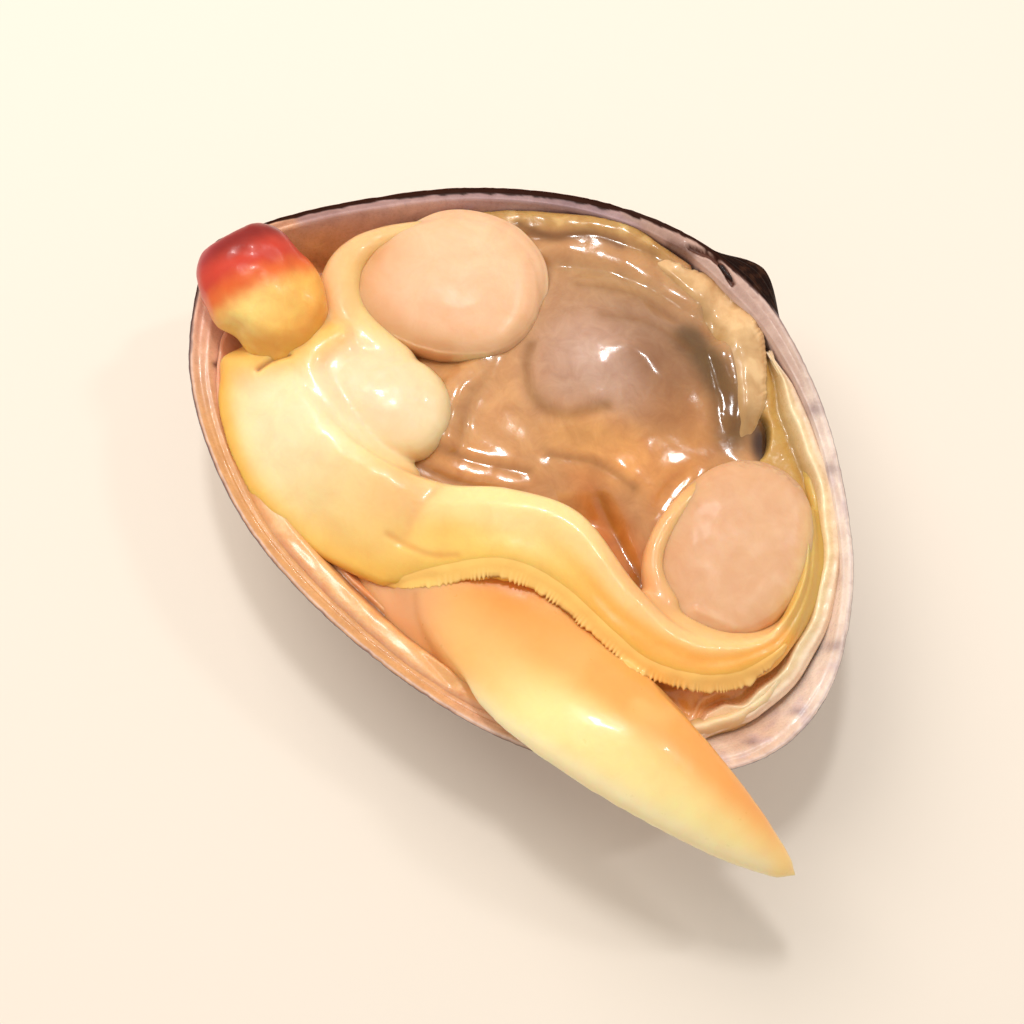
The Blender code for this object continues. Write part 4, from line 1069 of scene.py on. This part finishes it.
paint(tint, [
    (1 - lower_side, "#FAB05E"),
    (lower_side * outer_part, "#FEE8A2"),
    (0.8 * (1 - outer_part), "#F8B870"),
    # Partly the foot's own orange, partly painted shadow of the mantle's edge lying over it.
    (0.9 * ease(24, 4, x) * ease(-22, -14, y), "#EF9A40"),
    (0.9 * ease(6, -3, x + 0.6 * (y + 22)), "#E6A978"),
    (0.3 * outer_part * ease(0, 0.8, lumps), "#FED48C"),
    (0.6 * ease(44, 51, x), "#FEDB92"),
    (0.8 * low_edge, "#FCEBBE"),
    # Painted shade in the dented skin fold.
    (0.4 * near(skin_fold, at, 0.4), "#D09058"),
])
settle_tissue(foot, at, tint, wet_material(
    "foot_skin", ("#F7B060", 4.0, 0.1), (0.04, 0.9), 0.24, 2.4, glow=0.5, coat=0.45),
    ("foot",))

# ------------------------
# The mantle's free edge: a thin lip of the band's own skin, hanging over the foot, with a small
# ragged tooth every half millimetre or so, dark brown in a few of the notches.
def beside(path, along, away):
    """Places at shares along a path, shifted to its right-hand side by these distances."""
    line = curve(path, 800)
    spots = np.linspace(0.0, 1.0, 800)
    run = np.gradient(line[:, :2], axis=0)
    run /= np.hypot(*run.T)[:, None]
    middle = np.column_stack([np.interp(along, spots, part) for part in line.T])
    right = np.column_stack([np.interp(along, spots, part) for part in (run[:, 1], -run[:, 0])])
    middle[:, :2] += right * away[:, None]
    return middle


FRINGE = (
    (-8.4, -23.6, 19), (-4.6, -22.4, 19.4), (-2.3, -21.2, 19.8), (0, -18.9, 20.2), (2.4, -16.5, 20.6),
    (5.1, -14.4, 21), (8.4, -13.2, 21.4), (12.2, -13, 21.6), (15.6, -13.4, 21.8), (19.3, -13.9, 22.2),
    (23.4, -14.2, 22.4), (26.7, -13.5, 22.3), (29.8, -12.1, 22), (32.1, -10.5, 21.4), (34.4, -7.8, 20.8),
    (35.5, -3.7, 20.3), (35.7, -0.3, 20),
)
FRINGE_TEETH = 96
LIP_WIDTH = 3.0
lip_mesh, along, across = ribbon("mantle_lip", FRINGE_TEETH * 8, 18)
chips = grainy(np.outer(along, (60.0, 0.0, 0.0)), 1.4, seed=20)
uneven = grainy(np.outer(along, (60.0, 0.0, 0.0)) + (0.0, 9.0, 0.0), 5.0, seed=25)
tooth = along * FRINGE_TEETH + 0.5 * chips + 2.4 * uneven
size = 0.15 + 0.85 * np.abs(np.sin(np.floor(tooth) * 12.9898)) ** 1.5
point = (1 - np.abs(2 * (tooth % 1) - 1)) * size * ease(0.08, 0.16, along) * ease(0.98, 0.88, along)
lip_width = LIP_WIDTH * (0.2 + 0.8 * ease(0, 0.16, along)) * (1 - 0.8 * ease(0.84, 1, along))
near_edge = ease(0.8, 1, across)
overhang = 0.15 + 0.35 * ease(0.12, 0.2, along) * ease(0.55, 0.4, along)
away = (across - 1) * lip_width + near_edge * (overhang + 0.36 * point + 0.18 * chips)
at = beside(FRINGE, along, away)
lies = height_of((mantle, foot), at)
lies = drape(np.maximum(lies, 18.0), along, across, fall=0.14, rounds=3)
at[:, 2] = lies - 0.14 + 0.26 * ease(0, 0.9, across) - 0.1 * near_edge
at[:, 2] -= 1.2 * ease(0.1, 0, along) + 0.8 * ease(0.97, 1, along)
tint = mantle_tint(at)[0]
paint(tint, [
    (np.full(len(at), 0.5), "#FFD680"),
    (0.4 * near_edge * point, "#FDDFA0"),
])
# Dark brown in patches of the notches at the very edge.
dark_notches = ease(-0.1, 0.4, grainy(at, 3, seed=23)) * ease(0.92, 0.98, across)
paint(tint, [(0.8 * dark_notches * ease(0.7, 0.2, point), "#8E5420")])
settle_skin(lip_mesh, at, tint, 0.28, lip_material, ())

# ------------------------
# The front frill: the free edge of the lining down the front side, a cream ridge with a wet
# trough inside it, olive with painted shade, that ends in a wavy peach fold where the foot leaves
# the valve.
FRONT_EDGE = (
    (13.6, 26.6), (17.5, 24.3), (22, 20.9), (27, 17.5), (32, 12.2), (35.4, 6), (36.8, 0),
    (36.8, -5.4), (35, -10.4), (32.2, -14.4), (28.6, -17.6), (24, -20),
)
INSIDE_REACH = 5.5
OUTSIDE_REACH = 1.9
frill_mesh, along, across = ribbon("front_frill", 380, 50)
away = -OUTSIDE_REACH + across * (OUTSIDE_REACH + INSIDE_REACH)
late = ease(0.66, 0.8, along)
sway = late * (0.9 * np.sin(along * 52.0) + 0.4 * np.sin(along * 97.0)) + 0.15 * np.sin(along * 60.0)
drift = hump(away, 1.8)
opening = 0.12 + 0.88 * ease(0, 0.16, along)
at = beside(FRONT_EDGE, along, (away + sway * drift) * opening)
crinkle = grainy(level(at[:, :2]), 1.4, seed=17)
ridge_height = 19.35 - 0.7 * ease(0.08, 0, along) - 0.2 * late
profile = hump(away, 0.6)
trough = 17.9 - 0.35 * hump(away - 1.5, 0.7) + (0.35 + 0.8 * late) * ease(1, 4, away)
outer_side = 18.9 - 0.9 * ease(-1.2, -1.9, away)
blend = ease(-0.7, 0.7, away)
lies = outer_side * (1 - blend) + trough * blend
second = late * 0.5 * hump(away - 1.9 - 0.5 * sway, 0.5)
at = np.column_stack((at[:, :2], lies * (1 - profile) + ridge_height * profile + second + 0.1 * crinkle))
tint = base_coat(at, "#C9A056")
paint(tint, [
    (ease(0.5, 0.7, along), "#FAB056"),
    # Painted shade: olive in the trough inside the cream ridge.
    (0.6 * hump(away - 1.2, 0.45) * (1 - late), "#94733A"),
    (ease(-0.3, -0.9, away), "#F6E0C4"),
    (hump(away, 0.75), "#FBE8BC"),
    (late * hump(away, 0.8), "#F8CDA0"),
    (late * 0.6 * hump(away - 1.9 - 0.5 * sway, 0.5), "#F5C28C"),
])
# A dented hole, painted near-black as its shade.
hole_dent_and_shade = spot(at, 18.8, 17.6, 2.6, 1.2, -60, 6)
paint(tint, [(0.95 * hole_dent_and_shade, "#2A0E06")])
at[:, 2] -= 1.6 * hole_dent_and_shade
settle_skin(frill_mesh, at, tint, 0.4, wet_material(
    "frill_skin", ("#E09A58", 1.6, 0.25), (0.05, 0.5), 0.22, 0.6, glow=0.08, coat=0.7),
    ("front_frill",))

# ------------------------
# The stage: a plain warm-white floor, one large soft light high on the siphon side, small
# window-like lights that the wet film mirrors, and the camera looking down from the front.
floor_mesh = new_mesh("floor", bmesh.ops.create_grid, x_segments=2, y_segments=2, size=3.0)
floor = new_piece("floor", floor_mesh)
matt = bpy.data.materials.new("warm_white_floor")
matt.use_nodes = True
matt.node_tree.nodes["Principled BSDF"].inputs["Base Color"].default_value = (0.87, 0.79, 0.69, 1.0)
matt.node_tree.nodes["Principled BSDF"].inputs["Roughness"].default_value = 0.6
floor_mesh.materials.append(matt)


def add_light(name, place, size, power, aim=(0.0, 0.0, 0.015), colour=(1.0, 1.0, 1.0)):
    lamp = bpy.data.lights.new(name, "AREA")
    lamp.shape = "RECTANGLE"
    lamp.size, lamp.size_y = size
    lamp.energy = power
    lamp.color = colour
    light = bpy.data.objects.new(name, lamp)
    light.location = place
    light.rotation_euler = (Vector(aim) - Vector(place)).to_track_quat("-Z", "Y").to_euler()
    bpy.context.scene.collection.objects.link(light)
    return light


soft_box = add_light("soft_box", (-0.40, 0.12, 0.55), (0.45, 0.45), 2.5, colour=(1.0, 0.935, 0.87))
soft_box.visible_glossy = False
add_light("window", (-0.13, 0.14, 0.60), (0.05, 0.085), 0.9)
add_light("far_window", (0.16, 0.30, 0.55), (0.04, 0.06), 0.35)
world = bpy.data.worlds.new("pale_room")
world.use_nodes = True
world.node_tree.nodes["Background"].inputs["Color"].default_value = (1.0, 0.94, 0.87, 1.0)
world.node_tree.nodes["Background"].inputs["Strength"].default_value = 0.56
bpy.context.scene.world = world
bpy.context.scene.view_settings.view_transform = "Standard"

camera_data = bpy.data.cameras.new("camera")
camera_data.lens = 75.0
camera_data.clip_start = 0.01
camera = bpy.data.objects.new("camera", camera_data)
camera.location = (0.03956, -0.05787, 0.25594)
look = Vector((0.00152, -0.00738, 0.020)) - camera.location
camera.rotation_euler = look.to_track_quat("-Z", "Y").to_euler()
bpy.context.scene.collection.objects.link(camera)
bpy.context.scene.camera = camera
